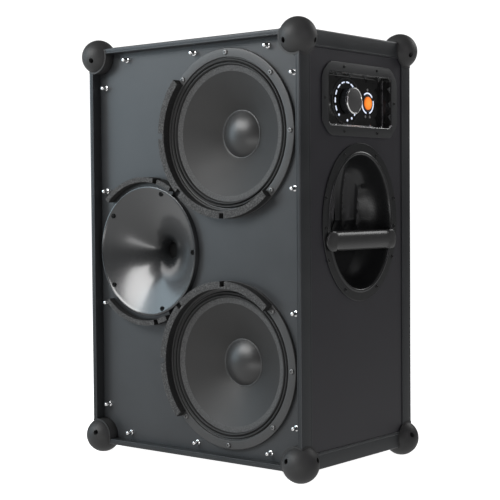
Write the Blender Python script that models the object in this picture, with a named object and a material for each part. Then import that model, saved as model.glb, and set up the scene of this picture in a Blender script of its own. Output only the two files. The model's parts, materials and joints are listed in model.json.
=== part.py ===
"""Portable battery powered PA cabinet: two cone woofers and a round horn in an aluminium edge frame.

The cabinet stands on +Z and its front looks along -Y. The origin is on the floor, below the middle of
the box. Every face of the box has a local frame of its own, with u to the right and v up as someone
facing it sees them, and w out of the face. w is 0 on the outermost plane of the frame.
"""

from math import acos, atan2, cos, degrees, hypot, pi, radians, sin, tau

import bmesh
import bpy
from mathutils import Euler, Matrix, Vector

MM = 0.001
GAP = 0.3 * MM  # between pieces that touch
SWEEP = 28  # facets round the drivers
SMALL_SWEEP = 16  # facets round knobs, coils and magnets

# The box, over the frame, without the corner balls
WIDTH, DEPTH, HEIGHT = 426 * MM, 290 * MM, 636 * MM

# Corner balls
BALL_R = 27.5 * MM
BALL_PROUD = 16 * MM  # past each face of the box
FOOT_FLAT = 1 * MM  # worn off the lowest point of the lower four
FLOOR_GAP = BALL_PROUD - FOOT_FLAT

# Panels
PANEL = 9 * MM
PANEL_INSET = 1.5 * MM
BAFFLE = 7.5 * MM
PLATE = 1.5 * MM  # plates and bezels that lie on a panel

# Frame extrusions
FLANGE = 3 * MM  # wall of the extrusion
LIP = 8.5 * MM  # width of the front lip
RECESS = 17 * MM  # from the lip's face back to the baffle
BAND = RECESS + BAFFLE + 0.5 * MM  # on the outer faces, wide enough to hide the baffle's edge

# Woofers, two alike
WOOFER_R = 127 * MM  # flange
WOOFER_U = WIDTH / 2 - LIP - 11.5 * MM - WOOFER_R  # to the right of the middle
WOOFER_V = HEIGHT / 2 - LIP - 9 * MM - WOOFER_R  # above and below the middle
WOOFER_RIM = 5 * MM  # thickness of the flange
CUTOUT_R = WOOFER_R - 12 * MM  # hole in the baffle
CONE_R = CUTOUT_R - 13 * MM
CAP_R = 35 * MM
COIL_R = 25.8 * MM
COIL_WALL = 1.2 * MM
BASKET_DEPTH = 67 * MM  # behind the flange's back
MAGNET_R = 68 * MM
MAGNET = 34 * MM

# Foam strips that the grille presses on
FOAM_PROUD = 1.5 * MM  # past the lip's face
WOOFER_FOAM = 11.5 * MM  # width
HORN_FOAM = 7.8 * MM
NOTCH, NOTCH_DEPTH = 9 * MM, 8 * MM

# Horn and its driver
HORN_R = 102 * MM
HORN_U, HORN_V = HORN_R + LIP + 6.5 * MM - WIDTH / 2, -5 * MM
HORN_RISE = 9 * MM  # of the mouth's edge above the baffle
LEDGE_R = 108.2 * MM
LEDGE_END, HORN_FOAM_END = 147, 135  # degrees, towards the frame
HORN_NOTCH = 76.5  # degrees, above and below
THROAT_R = 13 * MM
HORN_LENGTH = 67 * MM
HORN_WALL = 3 * MM
DRIVER_R, DRIVER = 45 * MM, 48 * MM

# Side faces, both with the same handle; CUP_U is towards the rear
CUP_U, CUP_V = 6 * MM, 39.5 * MM
CUP_HALF = (80 * MM, 101 * MM)
BEZEL = 18 * MM  # width of the cup's rim on the panel
CUP_DEPTH = 56 * MM
CUP_WALL = 3 * MM
GRIP_V = 12.4 * MM
GRIP_HALF, GRIP_TALL = 91.5 * MM, 29.5 * MM
GRIP_OUT, GRIP_IN = 6 * MM, 17 * MM  # in front of the face and behind it

# Control panel on the right side
CONTROL_U, CONTROL_V = 7 * MM, HEIGHT / 2 - 96.5 * MM
CONTROL_SIZE, CONTROL_CORNER = (198 * MM, 108 * MM), 20 * MM
WINDOW, WINDOW_CORNER, WINDOW_DEPTH = (162 * MM, 76 * MM), 6 * MM, 14.8 * MM
TRAY_WALL, TRAY_FLOOR = 2 * MM, 2.5 * MM
KNOB_U, BUTTON_U, CONTROLS_V = -10.5 * MM, 46 * MM, CONTROL_V - 1 * MM
KNOB_R, KNOB_LENGTH, SHAFT_R = 20 * MM, 15.7 * MM, 3 * MM
BUTTON_R, BUTTON_PROUD, STEM_R = 10 * MM, 2.5 * MM, 2.5 * MM
RUNNING = 0.4 * MM  # round a piece that turns or slides
LEVEL_RING = (26.5 * MM, 30 * MM)
STATUS_RING = (13.6 * MM, 16.4 * MM)
RING_THICK = 1.2 * MM

# Inside and on the rear
BATTERY = (210 * MM, 100 * MM, 84 * MM)
AMPLIFIER = (200 * MM, 120 * MM)
FINS, FIN, SINK_BASE, SINK_DEPTH = 9, 4 * MM, 8 * MM, 34 * MM
SOCKET_PLATE, SOCKET_V, SOCKET_CORNER = (150 * MM, 84 * MM), 150 * MM, 8 * MM
SOCKET_CUT = (130 * MM, 64 * MM)

MIDDLE = FLOOR_GAP + HEIGHT / 2
FACES = {
    "front": (Vector((0, -DEPTH / 2, MIDDLE)), Euler((pi / 2, 0, 0)), WIDTH, HEIGHT),
    "rear": (Vector((0, DEPTH / 2, MIDDLE)), Euler((pi / 2, 0, pi)), WIDTH, HEIGHT),
    "right": (Vector((WIDTH / 2, 0, MIDDLE)), Euler((pi / 2, 0, pi / 2)), DEPTH, HEIGHT),
    "left": (Vector((-WIDTH / 2, 0, MIDDLE)), Euler((pi / 2, 0, -pi / 2)), DEPTH, HEIGHT),
    "top": (Vector((0, 0, MIDDLE + HEIGHT / 2)), Euler((0, 0, 0)), WIDTH, DEPTH),
    "bottom": (Vector((0, 0, MIDDLE - HEIGHT / 2)), Euler((pi, 0, 0)), WIDTH, DEPTH),
}


# ---------------------------------------------------------------- helpers


def clear_scene():
    for obj in list(bpy.data.objects):
        bpy.data.objects.remove(obj, do_unlink=True)


def material(name, colour, roughness, metallic=0.0):
    made = bpy.data.materials.new(name)
    made.use_nodes = True
    shader = made.node_tree.nodes["Principled BSDF"]
    shader.inputs["Base Color"].default_value = (*colour, 1)
    shader.inputs["Roughness"].default_value = roughness
    shader.inputs["Metallic"].default_value = metallic
    return made


def add_object(name, mesh, finish, smooth=True):
    """Links an object for a bmesh or a mesh, with its faces turned outwards."""
    if isinstance(mesh, bmesh.types.BMesh):
        bmesh.ops.recalc_face_normals(mesh, faces=mesh.faces)
        data = bpy.data.meshes.new(name)
        mesh.to_mesh(data)
        mesh.free()
    else:
        data = mesh
    if smooth:
        data.shade_smooth()
        data.set_sharp_from_angle(angle=radians(35))
    obj = bpy.data.objects.new(name, data)
    bpy.context.scene.collection.objects.link(obj)
    if finish and not data.materials:
        data.materials.append(finish)
    return obj


def on_face(obj, face, u=0.0, v=0.0):
    """Puts an object's origin at u, v of a face, with its axes along u, v and w."""
    centre, turn, _, _ = FACES[face]
    obj.rotation_euler = turn
    obj.location = centre + turn.to_matrix() @ Vector((u, v, 0))
    return obj


def prism(outline, low, high):
    """A closed slab: the outline, drawn in u and v, from w = low to w = high."""
    mesh = bmesh.new()
    base = mesh.faces.new([mesh.verts.new((u, v, low)) for u, v in outline])
    top = bmesh.ops.extrude_face_region(mesh, geom=[base])
    raised = [item for item in top["geom"] if isinstance(item, bmesh.types.BMVert)]
    bmesh.ops.translate(mesh, vec=(0, 0, high - low), verts=raised)
    return mesh


def turned(profile, steps=SWEEP):
    """A closed body turned about w from a closed outline of (radius, w) points."""
    mesh = bmesh.new()
    points = [mesh.verts.new((r, 0, w)) for r, w in profile]
    edges = [mesh.edges.new((a, b)) for a, b in zip(points, points[1:] + points[:1])]
    bmesh.ops.spin(mesh, geom=points + edges, cent=(0, 0, 0), axis=(0, 0, 1), angle=tau, steps=steps)
    bmesh.ops.remove_doubles(mesh, verts=mesh.verts, dist=0.01 * MM)
    loose = [edge for edge in mesh.edges if not edge.link_faces]
    bmesh.ops.delete(mesh, geom=loose, context="EDGES")
    return mesh


def skinned(rings, closed):
    """A body through rings of points: a loop of rings when closed, or else with a cap at both ends."""
    mesh = bmesh.new()
    made = [[mesh.verts.new(point) for point in ring] for ring in rings]
    pairs = list(zip(made, made[1:] + made[:1])) if closed else list(zip(made, made[1:]))
    for first, second in pairs:
        for i in range(len(first)):
            j = (i + 1) % len(first)
            mesh.faces.new((first[i], first[j], second[j], second[i]))
    if not closed:
        mesh.faces.new(made[0])
        mesh.faces.new(made[-1])
    return mesh


def circle(radius, steps=SWEEP, half_v=None, centre=(0, 0)):
    """Points round a circle, or round an ellipse when half_v is given."""
    high = half_v or radius
    turns = [tau * i / steps for i in range(steps)]
    return [(centre[0] + radius * cos(a), centre[1] + high * sin(a)) for a in turns]


def rounded(width, height, corner, steps=4, centre=(0, 0)):
    """Points round a rectangle with round corners."""
    points = []
    for quarter, (su, sv) in enumerate(((1, 1), (-1, 1), (-1, -1), (1, -1))):
        middle_u = centre[0] + su * (width / 2 - corner)
        middle_v = centre[1] + sv * (height / 2 - corner)
        for i in range(steps + 1):
            a = pi / 2 * (quarter + i / steps)
            points.append((middle_u + corner * cos(a), middle_v + corner * sin(a)))
    return points


def arc_strip(inner, outer, start, end, notches=()):
    """Outline of a curved strip from start to end degrees, with square notches in its outer edge."""
    step = radians(6)
    half = NOTCH / 2 / outer
    stops = [radians(start), radians(end)]
    count = max(2, round((stops[1] - stops[0]) / step))
    angles = [stops[0] + (stops[1] - stops[0]) * i / count for i in range(count + 1)]
    cuts = [radians(a) for a in notches]
    rim = [(a, outer) for a in angles if all(abs(a - cut) > half * 1.2 for cut in cuts)]
    for cut in cuts:
        floor = outer - NOTCH_DEPTH
        rim += [(cut - half, outer), (cut - half * 0.99, floor)]
        rim += [(cut + half * 0.99, floor), (cut + half, outer)]
    rim.sort()
    back = [(a, inner) for a in reversed(angles)]
    return [(r * cos(a), r * sin(a)) for a, r in rim + back]


def cut_away(obj, cutter, operation="DIFFERENCE"):
    """Adds a Boolean with a cutter that stays hidden."""
    cutter.hide_render = True
    cutter.display_type = "WIRE"
    modifier = obj.modifiers.new(cutter.name, "BOOLEAN")
    modifier.operation = operation
    modifier.object = cutter
    return obj


def slab_with_holes(name, face, outline, low, high, holes, finish):
    """A plate on a face with holes cut through it."""
    plate = on_face(add_object(name, prism(outline, low, high), finish), face)
    for number, hole in enumerate(holes):
        cutter = add_object(f"{name}_hole_{number}", prism(hole, low - PANEL, high + PANEL), None)
        cut_away(plate, on_face(cutter, face))
    return plate


# ---------------------------------------------------------------- box


def corner_points():
    """(name, sign in x, y and z, centre of the ball) for the eight corners."""
    inside = BALL_R - BALL_PROUD
    for y_name, sy in (("front", -1), ("rear", 1)):
        for z_name, sz in (("bottom", -1), ("top", 1)):
            for x_name, sx in (("left", -1), ("right", 1)):
                place = (
                    sx * (WIDTH / 2 - inside),
                    sy * (DEPTH / 2 - inside),
                    MIDDLE + sz * (HEIGHT / 2 - inside),
                )
                yield f"corner_{y_name}_{z_name}_{x_name}", Vector(place)


def ball_mesh(radius):
    mesh = bmesh.new()
    bmesh.ops.create_uvsphere(mesh, u_segments=16, v_segments=8, radius=radius)
    return mesh


def corner_balls(finish):
    """The eight balls, and one hidden cutter that makes room for all of them."""
    room = bmesh.new()
    for name, centre in corner_points():
        mesh = ball_mesh(BALL_R)
        if "bottom" in name:
            bmesh.ops.bisect_plane(
                mesh, geom=mesh.verts[:] + mesh.edges[:] + mesh.faces[:],
                plane_co=(0, 0, FOOT_FLAT - BALL_R), plane_no=(0, 0, -1), clear_outer=True,
            )
            bmesh.ops.holes_fill(mesh, edges=[edge for edge in mesh.edges if edge.is_boundary])
        add_object(name, mesh, finish).location = centre
        turn = Matrix.Rotation(pi / 16, 4, "Z")  # keeps its facets off the frame's own corners
        place = Matrix.Translation(centre) @ turn
        bmesh.ops.create_uvsphere(room, u_segments=16, v_segments=8, radius=BALL_R + 4 * GAP, matrix=place)
    return add_object("room_for_balls", room, None)


def edge_outline(front):
    """Section of an edge extrusion, from the box's corner inwards along both faces."""
    if front:
        return [(0, 0), (LIP, 0), (LIP, RECESS), (FLANGE, RECESS), (FLANGE, BAND), (0, BAND)]
    return [(0, 0), (BAND, 0), (BAND, FLANGE), (FLANGE, FLANGE), (FLANGE, BAND), (0, BAND)]


def edge_extrusion(name, outline, start, along, first, second, length, finish, room):
    """An extrusion along a box edge; the outline's two directions are first and second."""
    mesh = prism(outline, 0, length)
    axes = Matrix((first, second, along)).transposed()
    bmesh.ops.transform(mesh, matrix=axes.to_4x4(), verts=mesh.verts)
    edge = add_object(name, mesh, finish)
    edge.location = start
    return cut_away(edge, room)


def edge_frame(finish, room):
    start = 0.8 * (BALL_R - BALL_PROUD)  # so that the ends lie inside the balls
    low, high = MIDDLE - HEIGHT / 2, MIDDLE + HEIGHT / 2
    for y_name, sy in (("front", -1), ("rear", 1)):
        outline = edge_outline(sy < 0)
        for x_name, sx in (("left", -1), ("right", 1)):
            edge_extrusion(
                f"edge_{y_name}_{x_name}", outline,
                Vector((sx * WIDTH / 2, sy * DEPTH / 2, low + start)),
                Vector((0, 0, 1)), Vector((-sx, 0, 0)), Vector((0, -sy, 0)),
                HEIGHT - 2 * start, finish, room,
            )
        for z_name, level, sz in (("bottom", low, -1), ("top", high, 1)):
            edge_extrusion(
                f"edge_{y_name}_{z_name}", outline,
                Vector((start - WIDTH / 2, sy * DEPTH / 2, level)),
                Vector((1, 0, 0)), Vector((0, 0, -sz)), Vector((0, -sy, 0)),
                WIDTH - 2 * start, finish, room,
            )
    for x_name, sx in (("left", -1), ("right", 1)):
        for z_name, level, sz in (("bottom", low, -1), ("top", high, 1)):
            edge_extrusion(
                f"edge_{x_name}_{z_name}", edge_outline(False),
                Vector((sx * WIDTH / 2, start - DEPTH / 2, level)),
                Vector((0, 1, 0)), Vector((-sx, 0, 0)), Vector((0, 0, -sz)),
                DEPTH - 2 * start, finish, room,
            )


def panels(finish, baffle_finish, room):
    """The six panels, each between the bands of the frame, with room for what is set into it."""
    cup_u, cup_v = (half + CUP_WALL + 2 * GAP for half in CUP_HALF)
    cup_hole = circle(cup_u, half_v=cup_v, centre=(CUP_U, CUP_V))
    left_hole = [(-u, v) for u, v in reversed(cup_hole)]
    tray = [size + 2 * TRAY_WALL + 4 * GAP for size in WINDOW]
    tray_hole = rounded(*tray, WINDOW_CORNER + TRAY_WALL, centre=(CONTROL_U, CONTROL_V))
    socket_hole = rounded(*SOCKET_CUT, SOCKET_CORNER, centre=(0, SOCKET_V))
    holes = {"right": [cup_hole, tray_hole], "left": [left_hole], "rear": [socket_hole]}
    for face in ("rear", "right", "left", "top", "bottom"):
        _, _, wide, high = FACES[face]
        border = 2 * (BAND + GAP)
        outline = rounded(wide - border, high - border, corner=BAND / 4, steps=1)
        low, high = -PANEL_INSET - PANEL, -PANEL_INSET
        panel = slab_with_holes(f"{face}_panel", face, outline, low, high, holes.get(face, []), finish)
        cut_away(panel, room)

    border = 2 * (FLANGE + GAP)
    outline = rounded(WIDTH - border, HEIGHT - border, corner=FLANGE, steps=1)
    front = -RECESS - GAP
    cutouts = [circle(CUTOUT_R, centre=(WOOFER_U, sign * WOOFER_V)) for sign in (1, -1)]
    cutouts.append(circle(horn_radius_at(-front) + HORN_WALL + 3 * GAP, centre=(HORN_U, HORN_V)))
    back = front - BAFFLE
    baffle = slab_with_holes("front_baffle", "front", outline, back, front, cutouts, baffle_finish)
    cut_away(baffle, room)


# ---------------------------------------------------------------- drivers


def woofer(name, sign, finishes):
    """One woofer. What moves hangs on an empty that lies on the cone's axis."""
    place = ("front", WOOFER_U, sign * WOOFER_V)
    back = -RECESS  # of the flange, where it lies on the baffle
    front = back + WOOFER_RIM
    seat = back - BASKET_DEPTH  # of the magnet
    slot_end = seat - 24 * MM  # of the slot that the coil moves in
    cap_w = front - 37 * MM  # of the dust cap's rim

    basket = on_face(add_object(f"{name}_basket", basket_mesh(front, back, seat), finishes["cast"]), *place)
    for cutter in basket_windows(name, (back + seat) / 2):
        cut_away(basket, on_face(cutter, *place))
    on_face(add_object(f"{name}_motor", motor_mesh(seat, slot_end), finishes["steel"]), *place)
    on_face(add_object(f"{name}_surround", surround_mesh(front), finishes["rubber"]), *place)
    on_face(add_object(f"{name}_spider", spider_mesh((back + seat) / 2 - 12 * MM), finishes["cloth"]), *place)

    axis = on_face(add_object(f"{name}_axis", None, None, smooth=False), *place)
    for piece, mesh, finish in (
        ("cone", cone_mesh(front, cap_w), "paper"),
        ("dust_cap", dome_mesh(cap_w + 1.2 * MM), "cap"),
        ("voice_coil", coil_mesh(cap_w - 3 * MM, slot_end + 6 * MM), "copper"),
    ):
        add_object(f"{name}_{piece}", mesh, finishes[finish]).parent = axis


def basket_mesh(front, back, seat):
    """A flange on the baffle, a ledge for the surround, and a bowl down to the magnet."""
    wall = 3 * MM
    inner_seat = CONE_R + 4 * MM  # inside the ledge that carries the surround
    ledge = front - 4 * MM
    return turned([
        (WOOFER_R, front), (WOOFER_R, back), (CUTOUT_R - 1 * MM, back), (CUTOUT_R - 4 * MM, back - 6 * MM),
        (MAGNET_R + 4 * MM, seat), (COIL_R + 5 * MM, seat),
        (COIL_R + 5 * MM, seat + wall), (MAGNET_R - 2 * MM, seat + wall), (MAGNET_R, seat + 11 * MM),
        (inner_seat, back - 2 * MM), (inner_seat, ledge),
        (CUTOUT_R - 3 * MM, ledge), (CUTOUT_R - 3 * MM, front),
    ])


def basket_windows(name, middle):
    """Three long boxes that cross on the axis and cut six windows into the bowl."""
    for i in range(3):
        turn = Matrix.Rotation(pi / 3 * i + pi / 6, 4, "Z")
        box = Matrix.Diagonal((3 * WOOFER_R, 46 * MM, 30 * MM, 1))
        mesh = bmesh.new()
        bmesh.ops.create_cube(mesh, size=1, matrix=Matrix.Translation((0, 0, middle)) @ turn @ box)
        yield add_object(f"{name}_window_{i}", mesh, None)


def motor_mesh(seat, slot_end):
    """Pole, magnet and plates as one body, with the ring slot that the coil moves in."""
    pole, slot_r = COIL_R - COIL_WALL - 1 * MM, COIL_R + 1.6 * MM
    top, bottom = seat - GAP, seat - MAGNET
    plate_r, step = MAGNET_R - 6 * MM, seat - 8 * MM
    back_r, back_step = MAGNET_R - 8 * MM, bottom + 6 * MM
    return turned([
        (0, top), (pole, top), (pole, slot_end), (slot_r, slot_end), (slot_r, top), (plate_r, top),
        (plate_r, step), (MAGNET_R, step), (MAGNET_R, back_step), (back_r, back_step), (back_r, bottom), (0, bottom),
    ], SMALL_SWEEP)


def surround_mesh(front):
    """Pleated cloth between the cone and the basket's ledge."""
    inner, outer = CONE_R + 0.4 * MM, CUTOUT_R - 3.5 * MM
    folds = (-3.5, 0, -2.6, 0, -2.5)  # mm, from the inner edge to the outer one
    upper = [(inner + (outer - inner) * i / 4, front + w * MM) for i, w in enumerate(folds)]
    return turned(upper + [(r, w - 1.2 * MM) for r, w in reversed(upper)])


def cone_mesh(front, cap_w):
    """A shallow border, the cone proper and its neck round the coil."""
    face = [
        (CONE_R, front - 4.5 * MM), (CONE_R - 7.5 * MM, front - 6.5 * MM),
        (CAP_R + 1 * MM, cap_w), (COIL_R + GAP, cap_w - 6 * MM),
    ]
    return turned(face + [(r, w - 1.5 * MM) for r, w in reversed(face)])


def dome_mesh(rim):
    """The dust cap, glued on over the coil."""
    rise = 13 * MM
    dome = [(CAP_R * cos(a), rim + rise * sin(a)) for a in (0, pi / 8, pi / 4, 3 * pi / 8)]
    dome.append((0, rim + rise))
    return turned(dome + [(r * 0.96, w - 1.2 * MM) for r, w in reversed(dome)], SMALL_SWEEP)


def coil_mesh(high, low):
    inner = COIL_R - COIL_WALL
    return turned([(COIL_R, high), (COIL_R, low), (inner, low), (inner, high)], SMALL_SWEEP)


def spider_mesh(w):
    """The rippled ring that centres the coil."""
    folds = [(COIL_R + 0.5 * MM + 8 * MM * i, w + (i % 2) * 3 * MM) for i in range(5)]
    return turned(folds + [(r, w - 1 * MM) for r, w in reversed(folds)], SMALL_SWEEP)


def horn_radius_at(depth):
    """Radius of the flare at a depth behind the lip's face."""
    mouth = RECESS - HORN_RISE
    share = min(1, max(0, (depth - mouth) / HORN_LENGTH))
    return THROAT_R + (HORN_R - 0.5 * MM - THROAT_R) * (1 - share) ** 2


def strip_ends():
    """Angles in degrees, from the horn's axis, where its foam clears the upper and lower woofers' rims."""
    radius, rim = LEDGE_R + GAP + HORN_FOAM, WOOFER_R + 2 * MM
    for sign in (1, -1):
        across, along = WOOFER_U - HORN_U, abs(sign * WOOFER_V - HORN_V)
        reach = hypot(across, along)
        cosine = (radius**2 + reach**2 - rim**2) / (2 * radius * reach)
        yield degrees(atan2(along, across) + acos(min(1, cosine)))


def horn(finish, driver_finish):
    mouth = RECESS - HORN_RISE
    end = mouth + HORN_LENGTH
    depths = [mouth + HORN_LENGTH * (i / 7) ** 1.3 for i in range(8)]
    flare = [(horn_radius_at(d), -d) for d in depths]
    outside = [(THROAT_R + 9 * MM, -end), (THROAT_R + 9 * MM, -end + 5 * MM)]
    hidden = [d for d in reversed(depths[:-1]) if RECESS + 2 * MM < d < end - 12 * MM]
    outside += [(horn_radius_at(d) + HORN_WALL, -d) for d in hidden]
    outside += [(horn_radius_at(RECESS) + HORN_WALL, -RECESS), (HORN_R, -RECESS), (HORN_R, -mouth - 1 * MM)]
    body = on_face(add_object("horn", turned(flare + outside), finish), "front", HORN_U, HORN_V)
    above, below = strip_ends()
    for name, start, stop in (("top", above, LEDGE_END), ("bottom", -LEDGE_END, -below)):
        outline = arc_strip(HORN_R - 3 * MM, LEDGE_R, start, stop)
        ledge = add_object(f"horn_ledge_{name}", prism(outline, -RECESS, -mouth - 2 * MM), None)
        cut_away(body, on_face(ledge, "front", HORN_U, HORN_V), "UNION")

    back = -end - GAP
    end = back - DRIVER
    shell = [(0, back), (DRIVER_R * 0.7, back), (DRIVER_R, back - 7 * MM), (DRIVER_R, end + 10 * MM),
             (DRIVER_R * 0.85, end), (0, end)]
    driver = add_object("compression_driver", turned(shell, SMALL_SWEEP), driver_finish)
    on_face(driver, "front", HORN_U, HORN_V)


def foams(finish):
    top = FOAM_PROUD
    flange = -RECESS + WOOFER_RIM + GAP
    for name, sign, start, end, notches in (
        ("upper_woofer_foam", 1, 135, 315, (180, 225, 270)),
        ("lower_woofer_foam", -1, 45, 225, (90, 135, 180)),
    ):
        outline = arc_strip(WOOFER_R - WOOFER_FOAM, WOOFER_R, start, end, notches)
        on_face(add_object(name, prism(outline, flange, top), finish), "front", WOOFER_U, sign * WOOFER_V)
    inner = LEDGE_R + GAP
    above, below = strip_ends()
    for name, start, end, notch in (
        ("horn_foam_top", above, HORN_FOAM_END, HORN_NOTCH),
        ("horn_foam_bottom", -HORN_FOAM_END, -below, -HORN_NOTCH),
    ):
        outline = arc_strip(inner, inner + HORN_FOAM, start, end, (notch,))
        on_face(add_object(name, prism(outline, -RECESS, top), finish), "front", HORN_U, HORN_V)


# ---------------------------------------------------------------- sides


def ellipse_ring(half_u, half_v, w, steps=SWEEP):
    return [Vector((u, v, w)) for u, v in circle(half_u, steps, half_v)]


def handle_cup(face, mirror, finish):
    """A deep oval cup with a bezel that lies on the panel."""
    top, under = -PANEL_INSET + GAP + PLATE, -PANEL_INSET + GAP
    hu, hv = CUP_HALF
    inside = ((0, top), (6 * MM, -30 * MM), (18 * MM, -48 * MM), (40 * MM, -CUP_DEPTH))
    rings = [ellipse_ring(hu - shrink, hv - shrink, w) for shrink, w in inside]
    rings.append(ellipse_ring(1 * MM, 1 * MM, -CUP_DEPTH))
    rings.append(ellipse_ring(1 * MM, 1 * MM, -CUP_DEPTH - CUP_WALL))
    rings += [ellipse_ring(hu - s + CUP_WALL, hv - s + CUP_WALL, w - CUP_WALL) for s, w in reversed(inside[1:])]
    rings.append(ellipse_ring(hu + CUP_WALL, hv + CUP_WALL, under))
    rings.append(ellipse_ring(hu + BEZEL, hv + BEZEL, under))
    rings.append(ellipse_ring(hu + BEZEL, hv + BEZEL, top))
    cup = add_object(f"{face}_handle_cup", skinned(rings, closed=True), finish)
    return on_face(cup, face, mirror * CUP_U, CUP_V)


def grip_bar(face, mirror, finish):
    """A thick bar across the cup, whose rounded ends lie on the bezel."""
    rest = -PANEL_INSET + 2 * GAP + PLATE
    bend = 0.83 * CUP_HALF[0] / GRIP_HALF  # where the bar drops into the cup
    sections = (
        (-1.0, 0.30, rest, 0.4), (-0.96, 0.75, rest, 0.8), (-0.9, 1, rest, 1), (-bend - 0.02, 1, rest, 1),
        (-bend, 1, -GRIP_IN, 1), (bend, 1, -GRIP_IN, 1),
        (bend + 0.02, 1, rest, 1), (0.9, 1, rest, 1), (0.96, 0.75, rest, 0.8), (1.0, 0.30, rest, 0.4),
    )  # share of the half length, share of the height, underside, share of how far it stands out
    rings = []
    for along, tall, low, proud in sections:
        high = rest + (GRIP_OUT - rest) * proud
        middle, half_w = (low + high) / 2, (high - low) / 2
        rings.append([
            Vector((GRIP_HALF * along, GRIP_TALL / 2 * tall * squared(sin, a), middle + half_w * squared(cos, a)))
            for a in (tau * i / 12 for i in range(12))
        ])
    bar = add_object(f"{face}_grip_bar", skinned(rings, closed=False), finish)
    return on_face(bar, face, mirror * CUP_U, GRIP_V)


def squared(function, angle):
    """A sine or cosine pushed out towards a square, for a bar with full corners."""
    value = function(angle)
    return (1 if value >= 0 else -1) * abs(value) ** 0.6


def control_panel(finishes):
    """The tray with its window, and the knob and button that stand in it."""
    floor = -PANEL_INSET + GAP + PLATE - WINDOW_DEPTH
    behind = floor - TRAY_FLOOR - GAP
    control_plate(floor, finishes["plastic"])
    low = floor + GAP
    for name, u, (inner, outer) in (
        ("level_light_ring", KNOB_U, LEVEL_RING),
        ("status_light_ring", BUTTON_U, STATUS_RING),
    ):
        section = [(outer, low), (inner, low), (inner, low + RING_THICK), (outer, low + RING_THICK)]
        on_controls(name, turned(section, SMALL_SWEEP), u, finishes["light"])

    low, high, shaft_end = floor + 1 * MM, floor + 1 * MM + KNOB_LENGTH, behind - 10 * MM
    section = [(0, high), (KNOB_R - 1.5 * MM, high), (KNOB_R, high - 1.5 * MM), (KNOB_R - 2 * MM, low),
               (SHAFT_R, low), (SHAFT_R, shaft_end), (0, shaft_end)]
    on_controls("volume_knob", turned(section, SMALL_SWEEP), KNOB_U, finishes["knob"])
    bore, encoder_end = SHAFT_R + RUNNING, behind - 8 * MM
    section = [(8 * MM, behind), (8 * MM, encoder_end), (bore, encoder_end), (bore, behind)]
    on_controls("volume_encoder", turned(section, SMALL_SWEEP), KNOB_U, finishes["steel"])

    high, low, stem_end = floor + BUTTON_PROUD, floor - 2 * MM, behind - 2 * MM
    section = [(0, high), (BUTTON_R - 1 * MM, high), (BUTTON_R, high - 1 * MM), (BUTTON_R, low),
               (STEM_R, low), (STEM_R, stem_end), (0, stem_end)]
    on_controls("power_button", turned(section, SMALL_SWEEP), BUTTON_U, finishes["orange"])
    switch_top = stem_end - 2 * MM  # leaves room for the button's travel
    switch = prism(rounded(14 * MM, 14 * MM, 2 * MM, 1), switch_top - 6 * MM, switch_top)
    on_controls("power_switch", switch, BUTTON_U, finishes["plastic"])


def on_controls(name, mesh, u, finish):
    return on_face(add_object(name, mesh, finish), "right", u, CONTROLS_V)


def control_plate(floor, finish):
    """A plate on the panel with a tray behind it, cut open as the window."""
    top, under = -PANEL_INSET + GAP + PLATE, -PANEL_INSET + GAP
    place = ("right", CONTROL_U, CONTROL_V)
    plate = on_face(add_object("control_plate", prism(rounded(*CONTROL_SIZE, CONTROL_CORNER), under, top), finish),
                    *place)
    outline = rounded(*[size + 2 * TRAY_WALL for size in WINDOW], WINDOW_CORNER + TRAY_WALL)
    tray = add_object("tray", prism(outline, floor - TRAY_FLOOR, under + 0.5 * MM), None)
    cut_away(plate, on_face(tray, *place), "UNION")
    pocket = add_object("tray_pocket", prism(rounded(*WINDOW, WINDOW_CORNER), floor, top + PANEL), None)
    cut_away(plate, on_face(pocket, *place))
    for name, u, radius in (("shaft_hole", KNOB_U, SHAFT_R), ("button_hole", BUTTON_U, BUTTON_R)):
        hole = prism(circle(radius + RUNNING, SMALL_SWEEP), floor - PANEL, floor + PANEL)
        cut_away(plate, on_controls(name, hole, u, None))


# ---------------------------------------------------------------- inside and rear


def battery_pack(finish):
    wide, deep, tall = BATTERY
    mesh = prism(rounded(wide, deep, 8 * MM, 2), 0, tall)
    pack = add_object("battery_pack", mesh, finish)
    pack.location = (0, DEPTH / 6, MIDDLE - HEIGHT / 2 + PANEL_INSET + PANEL + GAP)


def amplifier(finish, plate_finish):
    """The socket plate on the rear panel and the amplifier's finned heat sink behind it."""
    under, top = -PANEL_INSET + GAP, -PANEL_INSET + GAP + PLATE
    plate = prism(rounded(*SOCKET_PLATE, SOCKET_CORNER), under, top)
    on_face(add_object("socket_plate", plate, plate_finish), "rear", 0, SOCKET_V)

    wide, high = AMPLIFIER
    pitch = (wide - FIN) / (FINS - 1)
    comb = [(-wide / 2, 0), (wide / 2, 0)]
    for i in range(FINS):
        right = wide / 2 - i * pitch
        comb += [(right, -SINK_DEPTH), (right - FIN, -SINK_DEPTH)]
        if i < FINS - 1:
            comb += [(right - FIN, -SINK_BASE), (right - pitch, -SINK_BASE)]
    mesh = prism(comb, -high / 2, high / 2)
    bmesh.ops.rotate(mesh, verts=mesh.verts, matrix=Matrix.Rotation(pi / 2, 3, "X"))
    bmesh.ops.translate(mesh, verts=mesh.verts, vec=(0, 0, -PANEL_INSET - PANEL - GAP))
    on_face(add_object("amplifier_module", mesh, finish), "rear", 0, SOCKET_V)


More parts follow.
